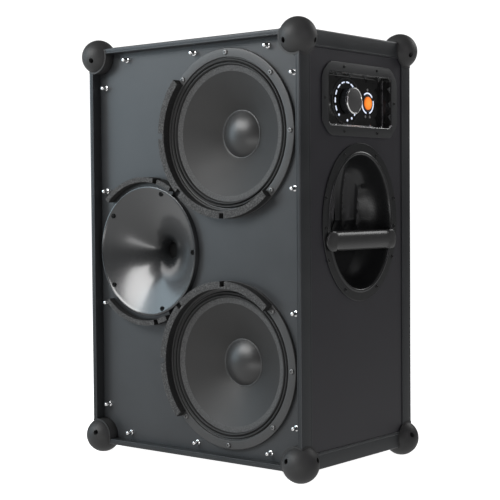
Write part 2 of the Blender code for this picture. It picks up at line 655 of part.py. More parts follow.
def main():
    clear_scene()
    bands = material("frame_aluminium", (0.11, 0.11, 0.12), 0.45, 0.6)
    rubber = material("rubber", (0.03, 0.03, 0.03), 0.75)
    panel = material("panel_coating", (0.035, 0.035, 0.038), 0.6)
    baffle = material("baffle_coating", (0.09, 0.09, 0.1), 0.5)
    plastic = material("plastic", (0.02, 0.02, 0.022), 0.4)
    foam = material("foam", (0.06, 0.06, 0.06), 0.95)
    steel = material("steel", (0.25, 0.25, 0.26), 0.4, 0.9)
    woofer_finishes = {
        "cast": material("cast_rim", (0.08, 0.08, 0.09), 0.45, 0.4),
        "steel": steel,
        "rubber": material("surround_cloth", (0.015, 0.015, 0.015), 0.7),
        "paper": material("cone_paper", (0.05, 0.05, 0.052), 0.8),
        "cap": material("dust_cap_gloss", (0.02, 0.02, 0.022), 0.25),
        "copper": material("coil_copper", (0.7, 0.35, 0.2), 0.4, 0.9),
        "cloth": material("spider_cloth", (0.5, 0.35, 0.1), 0.9),
    }
    controls = {
        "plastic": plastic,
        "steel": steel,
        "light": material("light_diffuser", (0.9, 0.92, 1.0), 0.3),
        "knob": material("knob_satin", (0.04, 0.04, 0.042), 0.35),
        "orange": material("button_orange", (0.95, 0.35, 0.03), 0.4),
    }

    room = corner_balls(rubber)
    edge_frame(bands, room)
    panels(panel, baffle, room)
    room.hide_render = True
    for name, sign in (("upper_woofer", 1), ("lower_woofer", -1)):
        woofer(name, sign, woofer_finishes)
    horn(plastic, steel)
    foams(foam)
    control_panel(controls)
    for face, mirror in (("right", 1), ("left", -1)):
        handle_cup(face, mirror, plastic)
        grip_bar(face, mirror, rubber)
    battery_pack(plastic)
    amplifier(steel, plastic)


main()
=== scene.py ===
# %% [markdown]
# # A portable PA cabinet
#
# This lesson dresses a cabinet whose solids already exist: two cone woofers and a round horn in a box
# with an aluminium edge frame and rubber balls on its corners. The solids come in as a fixed frame. Flat
# boards are good as they are and only get a finish. Everything round or moulded is built again here with
# finer curves, standing exactly where its solid stands, and rides on the same moving body.

import json
from math import asin, atan2, cos, degrees, hypot, pi, radians, sin, sqrt, tau

import bmesh
import bpy
from mathutils import Matrix, Vector, noise
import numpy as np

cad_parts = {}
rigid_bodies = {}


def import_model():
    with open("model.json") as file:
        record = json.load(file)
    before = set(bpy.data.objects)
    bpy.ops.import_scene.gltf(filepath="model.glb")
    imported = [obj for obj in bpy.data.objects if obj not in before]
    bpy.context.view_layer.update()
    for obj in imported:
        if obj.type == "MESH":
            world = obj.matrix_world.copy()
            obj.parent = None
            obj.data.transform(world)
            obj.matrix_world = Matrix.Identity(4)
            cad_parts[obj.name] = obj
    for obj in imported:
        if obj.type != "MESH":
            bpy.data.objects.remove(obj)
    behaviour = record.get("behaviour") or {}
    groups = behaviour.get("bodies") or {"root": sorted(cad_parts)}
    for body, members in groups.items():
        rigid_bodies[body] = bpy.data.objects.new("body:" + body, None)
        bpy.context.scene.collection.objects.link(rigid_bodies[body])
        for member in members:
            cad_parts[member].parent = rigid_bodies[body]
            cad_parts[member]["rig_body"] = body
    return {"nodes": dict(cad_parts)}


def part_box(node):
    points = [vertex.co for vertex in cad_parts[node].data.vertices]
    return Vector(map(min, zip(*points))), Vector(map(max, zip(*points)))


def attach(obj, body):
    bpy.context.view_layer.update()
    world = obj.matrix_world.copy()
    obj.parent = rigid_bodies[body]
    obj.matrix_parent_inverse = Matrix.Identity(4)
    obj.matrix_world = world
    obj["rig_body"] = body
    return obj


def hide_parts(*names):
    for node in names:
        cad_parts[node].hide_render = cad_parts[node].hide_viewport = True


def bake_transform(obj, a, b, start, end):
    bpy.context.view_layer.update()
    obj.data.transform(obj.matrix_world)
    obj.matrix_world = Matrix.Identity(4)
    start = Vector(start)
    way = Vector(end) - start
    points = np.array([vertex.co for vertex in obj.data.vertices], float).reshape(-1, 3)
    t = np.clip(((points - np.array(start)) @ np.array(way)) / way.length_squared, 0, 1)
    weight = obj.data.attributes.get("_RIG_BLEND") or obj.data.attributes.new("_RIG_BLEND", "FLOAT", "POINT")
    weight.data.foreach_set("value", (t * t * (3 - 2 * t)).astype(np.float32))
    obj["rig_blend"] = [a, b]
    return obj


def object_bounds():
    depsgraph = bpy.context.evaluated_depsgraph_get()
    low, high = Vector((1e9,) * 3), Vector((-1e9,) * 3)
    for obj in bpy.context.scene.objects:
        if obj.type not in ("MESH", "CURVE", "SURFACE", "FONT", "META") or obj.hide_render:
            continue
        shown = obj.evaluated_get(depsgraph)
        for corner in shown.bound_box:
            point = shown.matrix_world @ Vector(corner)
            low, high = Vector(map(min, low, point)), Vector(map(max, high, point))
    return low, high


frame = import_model()
cad_low, cad_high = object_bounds()
MM = 0.001
HERE = Matrix.Identity(4)  # leaves a body where it was drawn
ON_AXIS = 0.001  # mm, the radius where an eased outline closes on its axis
print("the cabinet measures", [round(side / MM, 1) for side in cad_high - cad_low], "mm")

# %% [markdown]
# ## A local frame on each face
#
# A cabinet maker draws each board flat on the bench: across, up and thickness. The same works here. Each
# face of the box gets a matrix that carries u to the right, v up and w out of the face, with w = 0 on the
# outermost plane of the aluminium frame. A piece is drawn flat in millimetres and then carried to its
# face. The alternative, turning every object by hand, invites mistakes on the rear and the sides.

# %% Matrices of the six faces
edge_boxes = [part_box(f"edge_{name}") for name in ("front_left", "rear_right", "front_top", "front_bottom")]
box_low = Vector(min(low[i] for low, _ in edge_boxes) for i in range(3))
box_high = Vector(max(high[i] for _, high in edge_boxes) for i in range(3))
box_size, box_middle = box_high - box_low, (box_low + box_high) / 2
X, Y, Z = Vector((1, 0, 0)), Vector((0, 1, 0)), Vector((0, 0, 1))


def face_matrix(right, up, out):
    """The matrix that carries u, v and w to one face of the box."""
    matrix = Matrix((right, up, out)).transposed().to_4x4()
    matrix.translation = box_middle + Vector(out[i] * box_size[i] / 2 for i in range(3))
    return matrix


FACES = {
    "front": face_matrix(X, Z, -Y), "rear": face_matrix(-X, Z, Y),
    "right": face_matrix(Y, Z, X), "left": face_matrix(-Y, Z, -X),
    "top": face_matrix(X, Y, Z), "bottom": face_matrix(X, -Y, -Z),
}


def spot(face, u=0.0, v=0.0, w=0.0, turn=0.0):
    """A place on a face, in metres, turned about w by an angle."""
    return FACES[face] @ Matrix.Translation((u, v, w)) @ Matrix.Rotation(turn, 4, "Z")


def around(face, u, v, radius, angle, w):
    """A place on a circle round (u, v), turned to face outwards; radius and w in millimetres."""
    return spot(face, u + radius * MM * cos(angle), v + radius * MM * sin(angle), w * MM, angle)


def flat_box(face, node):
    """A node's lowest and highest u, v and w on a face."""
    inverse = FACES[face].inverted()
    low, high = (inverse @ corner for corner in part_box(node))
    return Vector(map(min, low, high)), Vector(map(max, low, high))


def centre_on(face, node):
    low, high = flat_box(face, node)
    return (low.x + high.x) / 2, (low.y + high.y) / 2


print("the frame's box is", [round(side / MM, 1) for side in box_size], "mm")

# %% [markdown]
# ## Outlines with eased corners
#
# Nothing that was cast, moulded or sawn has a perfectly sharp corner, and it is the small rounds that
# catch the light. A Bevel modifier could add them afterwards. Easing the drawn outline instead keeps
# every round exactly where it is wanted, with as many points as it needs. A corner is written as
# (x, y, radius), or as (x, y) where it stays sharp.

# %% Helpers for outlines
def eased(points, steps=4):
    """A closed outline in metres from corners in millimetres, with the corners that have a radius rounded."""
    outline = []
    for i, point in enumerate(points):
        corner = Vector(point[:2])
        if len(point) < 3:
            outline.append(corner)
            continue
        before = Vector(points[i - 1][:2]) - corner
        after = Vector(points[(i + 1) % len(points)][:2]) - corner
        reach = min(point[2], 0.49 * before.length, 0.49 * after.length)
        start, end = corner + before.normalized() * reach, corner + after.normalized() * reach
        for step in range(steps + 1):
            t = step / steps
            outline.append(start.lerp(corner, t).lerp(corner.lerp(end, t), t))
    return [(p.x * MM, p.y * MM) for p in outline]


def oblong(width, height, corner, steps=6):
    """A rectangle round the origin with round corners, in millimetres."""
    x, y = width / 2, height / 2
    return eased([(x, y, corner), (-x, y, corner), (-x, -y, corner), (x, -y, corner)], steps)


def oval(half_u, half_v, steps=96):
    """Points round an ellipse, in metres from millimetres."""
    turns = [tau * i / steps for i in range(steps)]
    return [(half_u * MM * cos(a), half_v * MM * sin(a)) for a in turns]


print("an eased 10 mm square has", len(oblong(10, 10, 2)), "points")

# %% [markdown]
# ## Four ways to make a body
#
# Most parts of a loudspeaker are turned, pressed from sheet, extruded or swept. So there are four
# makers: a lathe for anything round about w, a slab for plates, a loft through rings of points for
# handles and cups, and a strip for the curved foam. Blender's Screw and Solidify modifiers could do some of
# this, but one closed mesh with even faces is easier to shade and to cut.

# %% Helpers for bodies
def skin(mesh, rings, loop):
    """Faces between neighbouring rings. A ring of one point closes a body on its axis."""
    pairs = list(zip(rings, rings[1:] + rings[:1])) if loop else list(zip(rings, rings[1:]))
    for first, second in pairs:
        for i in range(max(len(first), len(second))):
            j = i + 1
            four = [first[i % len(first)], first[j % len(first)], second[j % len(second)], second[i % len(second)]]
            corners = list(dict.fromkeys(four))
            if len(corners) > 2:
                mesh.faces.new(corners)
    return mesh


def lathe(profile, steps=96):
    """A body turned about w from a closed outline of (radius, w)."""
    mesh = bmesh.new()
    rings = []
    for radius, w in profile:
        turns = [0] if radius < 1e-6 else [tau * i / steps for i in range(steps)]
        rings.append([mesh.verts.new((radius * cos(a), radius * sin(a), w)) for a in turns])
    return skin(mesh, rings, loop=True)


def rod(radius, low, high, steps=24):
    """A plain round bar about w, in millimetres."""
    return lathe([(0, low * MM), (radius * MM, low * MM), (radius * MM, high * MM), (0, high * MM)], steps)


def loft(rings, loop=False):
    """A body through rings of points, with a cap at both ends unless the rings close on themselves."""
    mesh = bmesh.new()
    made = [[mesh.verts.new(point) for point in ring] for ring in rings]
    skin(mesh, made, loop)
    if not loop:
        for end in (made[0], made[-1]):
            if len(end) > 2:
                mesh.faces.new(end)
    return mesh


def slab(outline, low, high, ease=0.0):
    """A plate from w = low to w = high, in millimetres, with its upper edge eased."""
    mesh = bmesh.new()
    base = mesh.faces.new([mesh.verts.new((u, v, low * MM)) for u, v in outline])
    raised = bmesh.ops.extrude_face_region(mesh, geom=[base])["geom"]
    raised = [item for item in raised if isinstance(item, bmesh.types.BMVert)]
    bmesh.ops.translate(mesh, vec=(0, 0, (high - low) * MM), verts=raised)
    if ease:
        rim = [edge for edge in mesh.edges if all(abs(v.co.z - high * MM) < 1e-7 for v in edge.verts)]
        bmesh.ops.bevel(mesh, geom=rim, offset=ease * MM, segments=3, profile=0.5, affect="EDGES")
    return mesh


def gathered(parts):
    """One mesh from several (mesh, matrix) pairs, such as all the screws of a ring."""
    whole = bmesh.new()
    for mesh, where in parts:
        mesh.transform(where)
        data = bpy.data.meshes.new("part")
        mesh.to_mesh(data)
        mesh.free()
        whole.from_mesh(data)
        bpy.data.meshes.remove(data)
    return whole


# %% Helpers that make a piece and cut it
def piece(name, mesh, finish, body="cabinet", nodes=(), where=None, crease=35):
    """Links a finished mesh, gives it its finish and lets it ride on a body in place of its solids."""
    if where is not None:
        mesh.transform(where)
    bmesh.ops.recalc_face_normals(mesh, faces=mesh.faces)
    data = bpy.data.meshes.new(name)
    mesh.to_mesh(data)
    mesh.free()
    data.shade_smooth()
    data.set_sharp_from_angle(angle=radians(crease))
    made = bpy.data.objects.new(name, data)
    bpy.context.scene.collection.objects.link(made)
    data.materials.append(finish)
    if nodes:
        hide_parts(*nodes)
    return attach(made, body)


def carved(mesh, cutters):
    """The mesh with the cutters' bodies taken out of it."""
    scene = bpy.context.scene.collection.objects
    made = []
    for part in [mesh, *cutters]:
        bmesh.ops.recalc_face_normals(part, faces=part.faces)
        data = bpy.data.meshes.new("carving")
        part.to_mesh(data)
        part.free()
        made.append(bpy.data.objects.new("carving", data))
        scene.link(made[-1])
    for cutter in made[1:]:
        made[0].modifiers.new("cut", "BOOLEAN").object = cutter
    bpy.context.view_layer.update()
    result = bmesh.new()
    result.from_object(made[0], bpy.context.evaluated_depsgraph_get())
    for part in made:
        bpy.data.objects.remove(part, do_unlink=True)
    return result


print("the makers are ready")

# %% [markdown]
# ## A screw head
#
# The cabinet is held together by small black screws. A real head has a flat seat, a domed edge and a
# recess for the driver. It could be a cylinder with a Boolean, but a loft is lighter: the upper rings
# simply change from a circle to the outline of the recess and then go down.

# %% Screw heads
def recess_radius(drive, angle, step):
    """How far the recess reaches at an angle, as a share of the head's radius."""
    if drive == "hex":
        return 0.48 / cos((angle % (pi / 3)) - pi / 6)
    return (0.62, 0.3, 0.2, 0.2, 0.2, 0.3)[step % 6]


def screw_head(radius, height, drive="hex", steps=24):
    """A head that stands on w = 0, sizes in millimetres."""
    def ring(share, level, recess=False):
        points = []
        for i in range(steps):
            a = tau * i / steps
            r = radius * share * (recess_radius(drive, a, i) if recess else 1)
            points.append((r * MM * cos(a), r * MM * sin(a), level * height * MM))
        return points

    rings = [ring(1, 0), ring(1, 0.45), ring(0.93, 0.8), ring(0.8, 0.97), ring(0.68, 1)]
    rings += [ring(1, 1, True), ring(0.94, 0.9, True), ring(0.9, 0.35, True)]
    return loft(rings)


head = screw_head(3, 2)
print("a screw head has", len(head.faces), "faces")
head.free()

# %% [markdown]
# # The finishes
#
# Most of this cabinet is dark, so its materials are told apart by gloss, grain and relief far more than by
# colour. One recipe serves most of them: fine noise for the grain, wide noise for the unevenness that
# handling and moulding leave, a colour ramp, a gloss that follows the same pattern, and a low bump.
# Object coordinates keep the grain at its real size on every piece, without any unwrapping.

# %% The common recipe
def add_node(material, kind, inputs=(), **settings):
    """A shader node with some of its settings, and with its inputs linked or filled in."""
    made = material.node_tree.nodes.new(f"ShaderNode{kind}")
    for name, value in settings.items():
        setattr(made, name, value)
    for socket, value in dict(inputs).items():
        if isinstance(value, bpy.types.NodeSocket):
            material.node_tree.links.new(value, made.inputs[socket])
        else:
            made.inputs[socket].default_value = value
    return made


def ramp(material, factor, stops):
    """Colours along a factor. Each stop is (position, (red, green, blue))."""
    made = add_node(material, "ValToRGB", {"Fac": factor})
    elements = made.color_ramp.elements
    while len(elements) < len(stops):
        elements.new(1.0)
    for element, (position, colour) in zip(elements, stops):
        element.position, element.color = position, (*colour, 1)
    return made.outputs["Color"]


def grey(level, warmth=0.0):
    """A near neutral colour: positive warmth is towards red, negative towards blue."""
    return (level * (1 + warmth), level, level * (1 - warmth))


def noise_at(material, scale, detail=4.0, stretch=(1, 1, 1), roughness=0.6):
    place = add_node(material, "TexCoord").outputs["Object"]
    place = add_node(material, "Mapping", {"Vector": place, "Scale": stretch}).outputs["Vector"]
    inputs = {"Vector": place, "Scale": scale, "Detail": detail, "Roughness": roughness}
    return add_node(material, "TexNoise", inputs).outputs["Fac"]


def finish(name, dark, light, gloss, grain, relief, mottle=0.35, wide=12, stretch=(1, 1, 1), **sockets):
    """A finish whose colour and roughness run between two values each, with grain per metre and relief in mm."""
    material = bpy.data.materials.new(name)
    material.use_nodes = True
    shader = material.node_tree.nodes["Principled BSDF"]
    fine = noise_at(material, grain, 5, stretch)
    broad = noise_at(material, wide, 3)
    both = add_node(material, "Mix", {0: mottle, 2: fine, 3: broad}).outputs[0]
    link = material.node_tree.links.new
    link(ramp(material, both, [(0.36, dark), (0.64, light)]), shader.inputs["Base Color"])
    spread = {"Value": both, "From Min": 0.35, "From Max": 0.65, "To Min": gloss[0], "To Max": gloss[1]}
    link(add_node(material, "MapRange", spread).outputs["Result"], shader.inputs["Roughness"])
    bump = {"Height": fine, "Strength": 1.0, "Distance": relief * MM}
    link(add_node(material, "Bump", bump).outputs["Normal"], shader.inputs["Normal"])
    for socket, value in sockets.items():
        shader.inputs[socket.replace("_", " ")].default_value = value
    return material


BALL_RUBBER = finish("ball_rubber", grey(0.018), grey(0.026), (0.5, 0.62), 1300, 0.03)
COATING = finish("panel_coating", (0.0142, 0.0134, 0.0175), (0.0195, 0.0185, 0.0235), (0.36, 0.46), 1100, 0.03,
                 mottle=0.5)
BAFFLE = finish("baffle_coating", grey(0.033, -0.07), grey(0.042, -0.07), (0.33, 0.42), 1500, 0.02, mottle=0.5)
MOULDED = finish("moulded_plastic", grey(0.0145, -0.06), grey(0.0205, -0.06), (0.36, 0.48), 1600, 0.025)
CUP_PLASTIC = finish("cup_plastic", grey(0.010, -0.04), grey(0.014, -0.04), (0.26, 0.36), 900, 0.02)
SCREW = finish("blackened_steel", grey(0.02), grey(0.05), (0.25, 0.4), 900, 0.01, Metallic=0.7)
BLACK_HEAD = finish("black_oxide", grey(0.002), grey(0.004), (0.6, 0.75), 900, 0.01, Specular_IOR_Level=0.12)
RIM_HEAD = finish("zinc_steel", grey(0.16), grey(0.28), (0.3, 0.42), 900, 0.01, Metallic=0.8)
CHROME = finish("chromed_steel", grey(0.72), grey(0.86), (0.08, 0.18), 700, 0.004, Metallic=1.0)
STEEL = finish("plated_steel", grey(0.42), grey(0.58), (0.28, 0.42), 600, 0.01, Metallic=1.0)
COPPER = finish("copper_winding", (0.6, 0.27, 0.13), (0.75, 0.38, 0.2), (0.25, 0.4), 900, 0.02,
                stretch=(0.05, 3, 0.05), Metallic=1.0)
SPIDER = finish("spider_cloth", (0.30, 0.17, 0.05), (0.42, 0.26, 0.09), (0.7, 0.9), 1400, 0.08)
print("plain finishes:", len(bpy.data.materials))

# %% [markdown]
# ## Frame, rims and horn
#
# The frame is extruded aluminium, bead-blasted and anodised dark grey, so it is smoother than the boards
# and slightly metallic. The drivers' rims are die-cast and painted satin. The horn is moulded in a hard
# plastic with a good gloss: its large soft highlights are what shows its bell shape. A coat layer gives
# that depth better than a low roughness on the plastic itself.

# %% Metal, paint and gloss
ANODISED = finish("anodised_aluminium", grey(0.036, -0.06), grey(0.048, -0.06), (0.34, 0.44), 1800, 0.008,
                  mottle=0.6, Metallic=0.5)
CAST_PAINT = finish("cast_rim_paint", grey(0.040), grey(0.056), (0.34, 0.46), 900, 0.03)
HORN_GLOSS = finish("horn_gloss", grey(0.016, -0.05), grey(0.021, -0.05), (0.23, 0.28), 1200, 0.004,
                    Coat_Weight=0.6, Coat_Roughness=0.15, Specular_IOR_Level=0.65)
bell_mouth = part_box("horn")[0].y
shader = HORN_GLOSS.node_tree.nodes["Principled BSDF"]
depth = add_node(HORN_GLOSS, "SeparateXYZ", {0: add_node(HORN_GLOSS, "TexCoord").outputs["Object"]}).outputs["Y"]
for socket, outside in (("Specular IOR Level", 0.65), ("Coat Weight", 0.6)):  # painted shade: reflection and coat fade out deep in the throat so it stays dark
    fade = {"Value": depth, "From Min": bell_mouth + 42 * MM, "From Max": bell_mouth + 60 * MM,
            "To Min": outside, "To Max": 0.03}
    HORN_GLOSS.node_tree.links.new(add_node(HORN_GLOSS, "MapRange", fade).outputs["Result"], shader.inputs[socket])
CAP_LACQUER = finish("cap_lacquer", grey(0.022), grey(0.030), (0.36, 0.42), 1500, 0.01, Coat_Weight=0.25,
                     Coat_Roughness=0.32)
BEAD_GLUE = finish("glue_bead", grey(0.032), grey(0.05), (0.3, 0.4), 700, 0.02)
WINDOW_GLOSS = finish("window_gloss", grey(0.010), grey(0.014), (0.1, 0.16), 60, 0.35, wide=20)
EDGE_GLOSS = finish("polished_edge", grey(0.012), grey(0.02), (0.2, 0.3), 500, 0.02)
# painted highlight: a bright metal finish used only on the window's lower edge and lower teeth
HIGHLIGHT_TRIM = finish("painted_highlight_trim", grey(0.42), grey(0.6), (0.16, 0.26), 160, 0.12, Metallic=1.0)
GRIP_RUBBER = finish("grip_rubber", grey(0.026), grey(0.036), (0.28, 0.38), 1400, 0.02, wide=30)
print("with metal, paint and gloss:", len(bpy.data.materials))

# %% [markdown]
# ## Paper, pleated cloth and foam
#
# The cone is pressed from paper pulp, so short fibres show near its edge. The surround is doped cloth,
# whose weave is finer than its pleats. The foam is open-celled: dark pores in a paler skin, which only a
# cell pattern gives. A Voronoi texture makes the pores, and its distance also lowers the surface in them.

# %% Paper, cloth and foam
CONE_PAPER = finish("cone_paper", grey(0.012, 0.03), grey(0.019, 0.03), (0.5, 0.62), 700, 0.05, wide=40)
PULP_EDGE = finish("cone_pulp_edge", grey(0.022), grey(0.085), (0.6, 0.8), 520, 0.12, mottle=0.1)
PLEATED = finish("pleated_cloth", grey(0.008), grey(0.018), (0.5, 0.7), 1700, 0.06, mottle=0.2)


foam_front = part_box("upper_woofer_foam")[0].y  # the cut face that the grille presses on


def foam_finish():
    """Open-celled foam with pores of about 2 mm: open and paler on the cut face, with painted shade down its
    sides.
    """
    material = finish("grille_foam", grey(0.03), grey(0.05), (0.85, 0.97), 900, 0.1)
    shader = material.node_tree.nodes["Principled BSDF"]
    place = add_node(material, "TexCoord").outputs["Object"]
    depth = add_node(material, "SeparateXYZ", {0: place}).outputs["Y"]
    cut_face = add_node(material, "MapRange", {
        "Value": depth, "From Min": foam_front + 1.8 * MM, "From Max": foam_front + 0.6 * MM,
    }).outputs["Result"]
    cells = add_node(material, "TexVoronoi", {"Vector": place, "Scale": 480.0, "Randomness": 1.0})
    distance = cells.outputs["Distance"]
    pores = ramp(material, distance, [(0.15, grey(0.020)), (0.5, grey(0.046)), (0.8, grey(0.085))])
    link = material.node_tree.links.new
    # painted shade: the strip's sides, away from the cut face, are painted near black
    skin = ramp(material, distance, [(0.2, grey(0.004)), (0.8, grey(0.012))])
    shade = add_node(material, "Mix", {0: cut_face}, data_type="RGBA")
    link(skin, shade.inputs[6])
    link(pores, shade.inputs[7])
    link(shade.outputs[2], shader.inputs["Base Color"])
    bump = {"Height": distance, "Strength": 1.0, "Distance": 0.5 * MM}
    link(add_node(material, "Bump", bump).outputs["Normal"], shader.inputs["Normal"])
    return material


FOAM = foam_finish()
print("with paper, cloth and foam:", len(bpy.data.materials))

# %% [markdown]
# ## Lights in the control window
#
# The level marks are white light guides, and the power button is a lit orange lens. Both need emission.
# The lens is brightest over its lamp and deepens to orange at the rim, so its colour follows the distance
# from its own centre.

# %% Lit finishes
button_low, button_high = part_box("power_button")


def lit(material, strength):
    """Makes a finish give off light in its own colour."""
    shader = material.node_tree.nodes["Principled BSDF"]
    colour = shader.inputs["Base Color"].links[0].from_socket
    material.node_tree.links.new(colour, shader.inputs["Emission Color"])
    shader.inputs["Emission Strength"].default_value = strength
    return material


LED_WHITE = lit(finish("led_white", (0.62, 0.72, 0.95), (0.85, 0.90, 1.0), (0.3, 0.4), 300, 0.01), 0.8)
LED_FAINT = finish("led_unlit", grey(0.20), grey(0.30), (0.3, 0.45), 300, 0.01)
LENS = finish("orange_lens", (0.9, 0.25, 0.02), (0.95, 0.35, 0.05), (0.35, 0.45), 900, 0.01)
centre = (button_low + button_high) / 2
spread = add_node(LENS, "VectorMath", {
    0: add_node(LENS, "TexCoord").outputs["Object"],
    1: (button_high.x, centre.y, centre.z),
}, operation="DISTANCE")
share = add_node(LENS, "MapRange", {"Value": spread.outputs["Value"], "From Max": 11 * MM}).outputs["Result"]
glow = ramp(LENS, share, [(0.2, (0.95, 0.28, 0.035)), (0.7, (0.86, 0.21, 0.022)), (1.0, (0.62, 0.12, 0.008))])
LENS.node_tree.links.new(glow, LENS.node_tree.nodes["Principled BSDF"].inputs["Base Color"])
lit(LENS, 0.8)
print("all finishes:", len(bpy.data.materials))

# %% [markdown]
# # The boards
#
# The solids of the flat boards are already right, edge for edge. They keep their shape and only get their
# finish, as do the parts inside the box that never show: magnets, coils, battery and heat sink.

# %% Finishes on the solids that stay
STAYING = {
    "front_baffle": BAFFLE,
    **{f"{side}_panel": COATING for side in ("left", "right", "top", "bottom", "rear")},
    **{f"{place}_woofer_{part}": finish_of for place in ("upper", "lower")
       for part, finish_of in (("motor", STEEL), ("voice_coil", COPPER), ("spider", SPIDER))},
    "compression_driver": STEEL, "volume_encoder": STEEL, "amplifier_module": ANODISED,
    "battery_pack": MOULDED, "power_switch": MOULDED, "socket_plate": MOULDED,
}
for node, finish_of in STAYING.items():
    solid = frame["nodes"][node]
    solid.data.materials.clear()
    solid.data.materials.append(finish_of)
print(len(STAYING), "solids keep their shape")

# %% [markdown]
# # The edge frame
#
# Twelve lengths of extruded aluminium hold the boards by their edges. Each is one section pulled straight:
# an eased outer corner, a shallow groove that the die leaves beside the lip, and at the front a deeper lip
# that hides the grille's edge. The section is drawn once and lofted along each edge. The ends run into the
# corner balls, which cover them.

# %% Sections and lengths of the frame
LIP, RECESS, WALL, BAND = 8.5, 17, 3, 25  # mm
END = 26 * MM  # from the box's corner to where a length starts, inside the ball

front_section = eased([
    (0, 0, 2.2), (5.6, 0, 0.2), (5.8, 0.35), (6.2, 0.35), (6.4, 0, 0.2), (LIP, 0, 0.8), (LIP, RECESS, 0.4),
    (WALL, RECESS), (WALL, BAND, 0.4), (0, BAND, 0.6), (0, 22.6, 0.1), (0.3, 22.3), (0.3, 21.7), (0, 21.4, 0.1),
])
plain_section = eased([
    (0, 0, 2.2), (21.4, 0, 0.1), (21.7, 0.3), (22.3, 0.3), (22.6, 0, 0.1), (BAND, 0, 0.6), (BAND, WALL, 0.4),
    (WALL, WALL), (WALL, BAND, 0.4), (0, BAND, 0.6), (0, 22.6, 0.1), (0.3, 22.3), (0.3, 21.7), (0, 21.4, 0.1),
])


def frame_length(name, section, along, inward, inward_too):
    """One length along an axis of the box; inward and inward_too point from its corner over the two faces."""
    axis = [abs(part) for part in along].index(1)
    corner = box_middle - Vector(
        (inward[i] + inward_too[i]) * box_size[i] / 2 for i in range(3)
    )
    half = box_size[axis] / 2 - END
    rings = [
        [corner + inward * a + inward_too * b + along * reach for a, b in section] for reach in (-half, half)
    ]
    piece(f"frame_{name}", loft(rings), ANODISED, nodes=[f"edge_{name}"])


for depth_name, deeper, section in (("front", Y, front_section), ("rear", -Y, plain_section)):
    for side, inward in (("left", X), ("right", -X)):
        frame_length(f"{depth_name}_{side}", section, Z, inward, deeper)
    for level, inward in (("bottom", Z), ("top", -Z)):
        frame_length(f"{depth_name}_{level}", section, X, inward, deeper)
for side, inward in (("left", X), ("right", -X)):
    for level, inward_too in (("bottom", Z), ("top", -Z)):
        frame_length(f"{side}_{level}", plain_section, Y, inward, inward_too)

# %% Curved strips, for collars, ledges and foam
def strip(inner, outer, low, high, start, end, notches=(), notch=9.0, notch_depth=8.0, rough=0.0, ease=0.5):
    """A curved bar between two radii, from start to end degrees, with square notches in its outer side."""
    half = notch / 2 / outer * 180 / pi
    count = round((end - start) / 1.2)
    stations = [start + (end - start) * i / count for i in range(count + 1)]
    stops = [(a, outer) for a in stations if all(abs(a - n) > half + 0.4 for n in notches)]
    for n in notches:
        stops += [(n - half, outer), (n - half + 0.05, outer - notch_depth)]
        stops += [(n + half - 0.05, outer - notch_depth), (n + half, outer)]
    rings = []
    for degrees_round, reach in sorted(stops):
        a = radians(degrees_round)
        ring = []
        for r, w in eased([(inner, low), (reach, low), (reach, high, ease), (inner, high, ease)], 2):
            point = Vector((r * cos(a), r * sin(a), w))
            ring.append(point + rough * MM * noise.noise_vector(point / MM / 3))
        rings.append(ring)
    return loft(rings)


# %% [markdown]
# # The corner balls
#
# A rubber ball takes the knocks at each corner. It is screwed on from three sides through deep bores, and
# a thin dark ring of painted shade lies on each face round it. One ball is carved for the upper right rear corner;
# the other seven are its mirror images. The lower four are worn flat where they stand on the floor.

# %% One carved ball and its seven mirror images
ball_low, ball_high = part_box("corner_rear_top_right")
BALL_R = (ball_high.x - ball_low.x) / 2 / MM
BALL_IN = BALL_R - (ball_high.x - box_high.x) / MM  # from each face in to the ball's centre
BORE_SHIFT, BORE_R, BORE_DEPTH = 7.5, 3.9, 9.0


def towards(axis):
    """A turn that carries w to an axis of the box."""
    return (Matrix.Rotation(pi / 2, 4, "Y"), Matrix.Rotation(-pi / 2, 4, "X"), HERE)[axis]


def bore_place(axis, out):
    """Where a bore or its screw goes: off the ball's centre, away from the corner, and out along the axis."""
    shift = Vector((-BORE_SHIFT * MM,) * 3)
    shift[axis] = out * MM
    return Matrix.Translation(shift) @ towards(axis)


def corner_ball():
    """The ball round the origin, for the corner where x, y and z are all positive."""
    ball = bmesh.new()
    bmesh.ops.create_uvsphere(ball, u_segments=72, v_segments=36, radius=BALL_R * MM)
    bores = []
    for axis in range(3):
        bore = rod(BORE_R, 0, 20)
        bore.transform(bore_place(axis, sqrt(BALL_R**2 - 2 * BORE_SHIFT**2) - BORE_DEPTH))
        bores.append(bore)
    return carved(ball, bores)


def ball_screws_and_shade_rings():
    level = sqrt(BALL_R**2 - 2 * BORE_SHIFT**2) - BORE_DEPTH
    screws = gathered([(screw_head(3.3, 2.4), bore_place(axis, level)) for axis in range(3)])
    reach = sqrt(BALL_R**2 - BALL_IN**2)
    # Each ring of painted shade is the part of a ring that lies over its face, out to the box's edges on two
    # sides.
    past_edge = degrees(asin((BALL_IN - 0.5) / (reach + 2.6)))
    shade_rings = []
    for axis in range(3):
        first, second = [Vector(-float(i == other) for i in range(3)) for other in range(3) if other != axis]
        out = first.cross(second)
        place = Matrix((first, second, out)).transposed().to_4x4()
        place.translation = abs(out[axis]) * Vector(BALL_IN * MM * float(i == axis) for i in range(3))
        sides = (0.0, 0.5) if out[axis] > 0 else (-0.5, 0.0)
        ring = strip(reach - 1.5, reach + 2.6, sides[0], sides[1], -past_edge, 90 + past_edge, ease=0.1)
        shade_rings.append((ring, place))
    return screws, gathered(shade_rings)


def copy_to_corner(mesh, signs, centre):
    copied = mesh.copy()
    copied.transform(Matrix.Translation(centre) @ Matrix.Diagonal((*signs, 1)))
    return copied


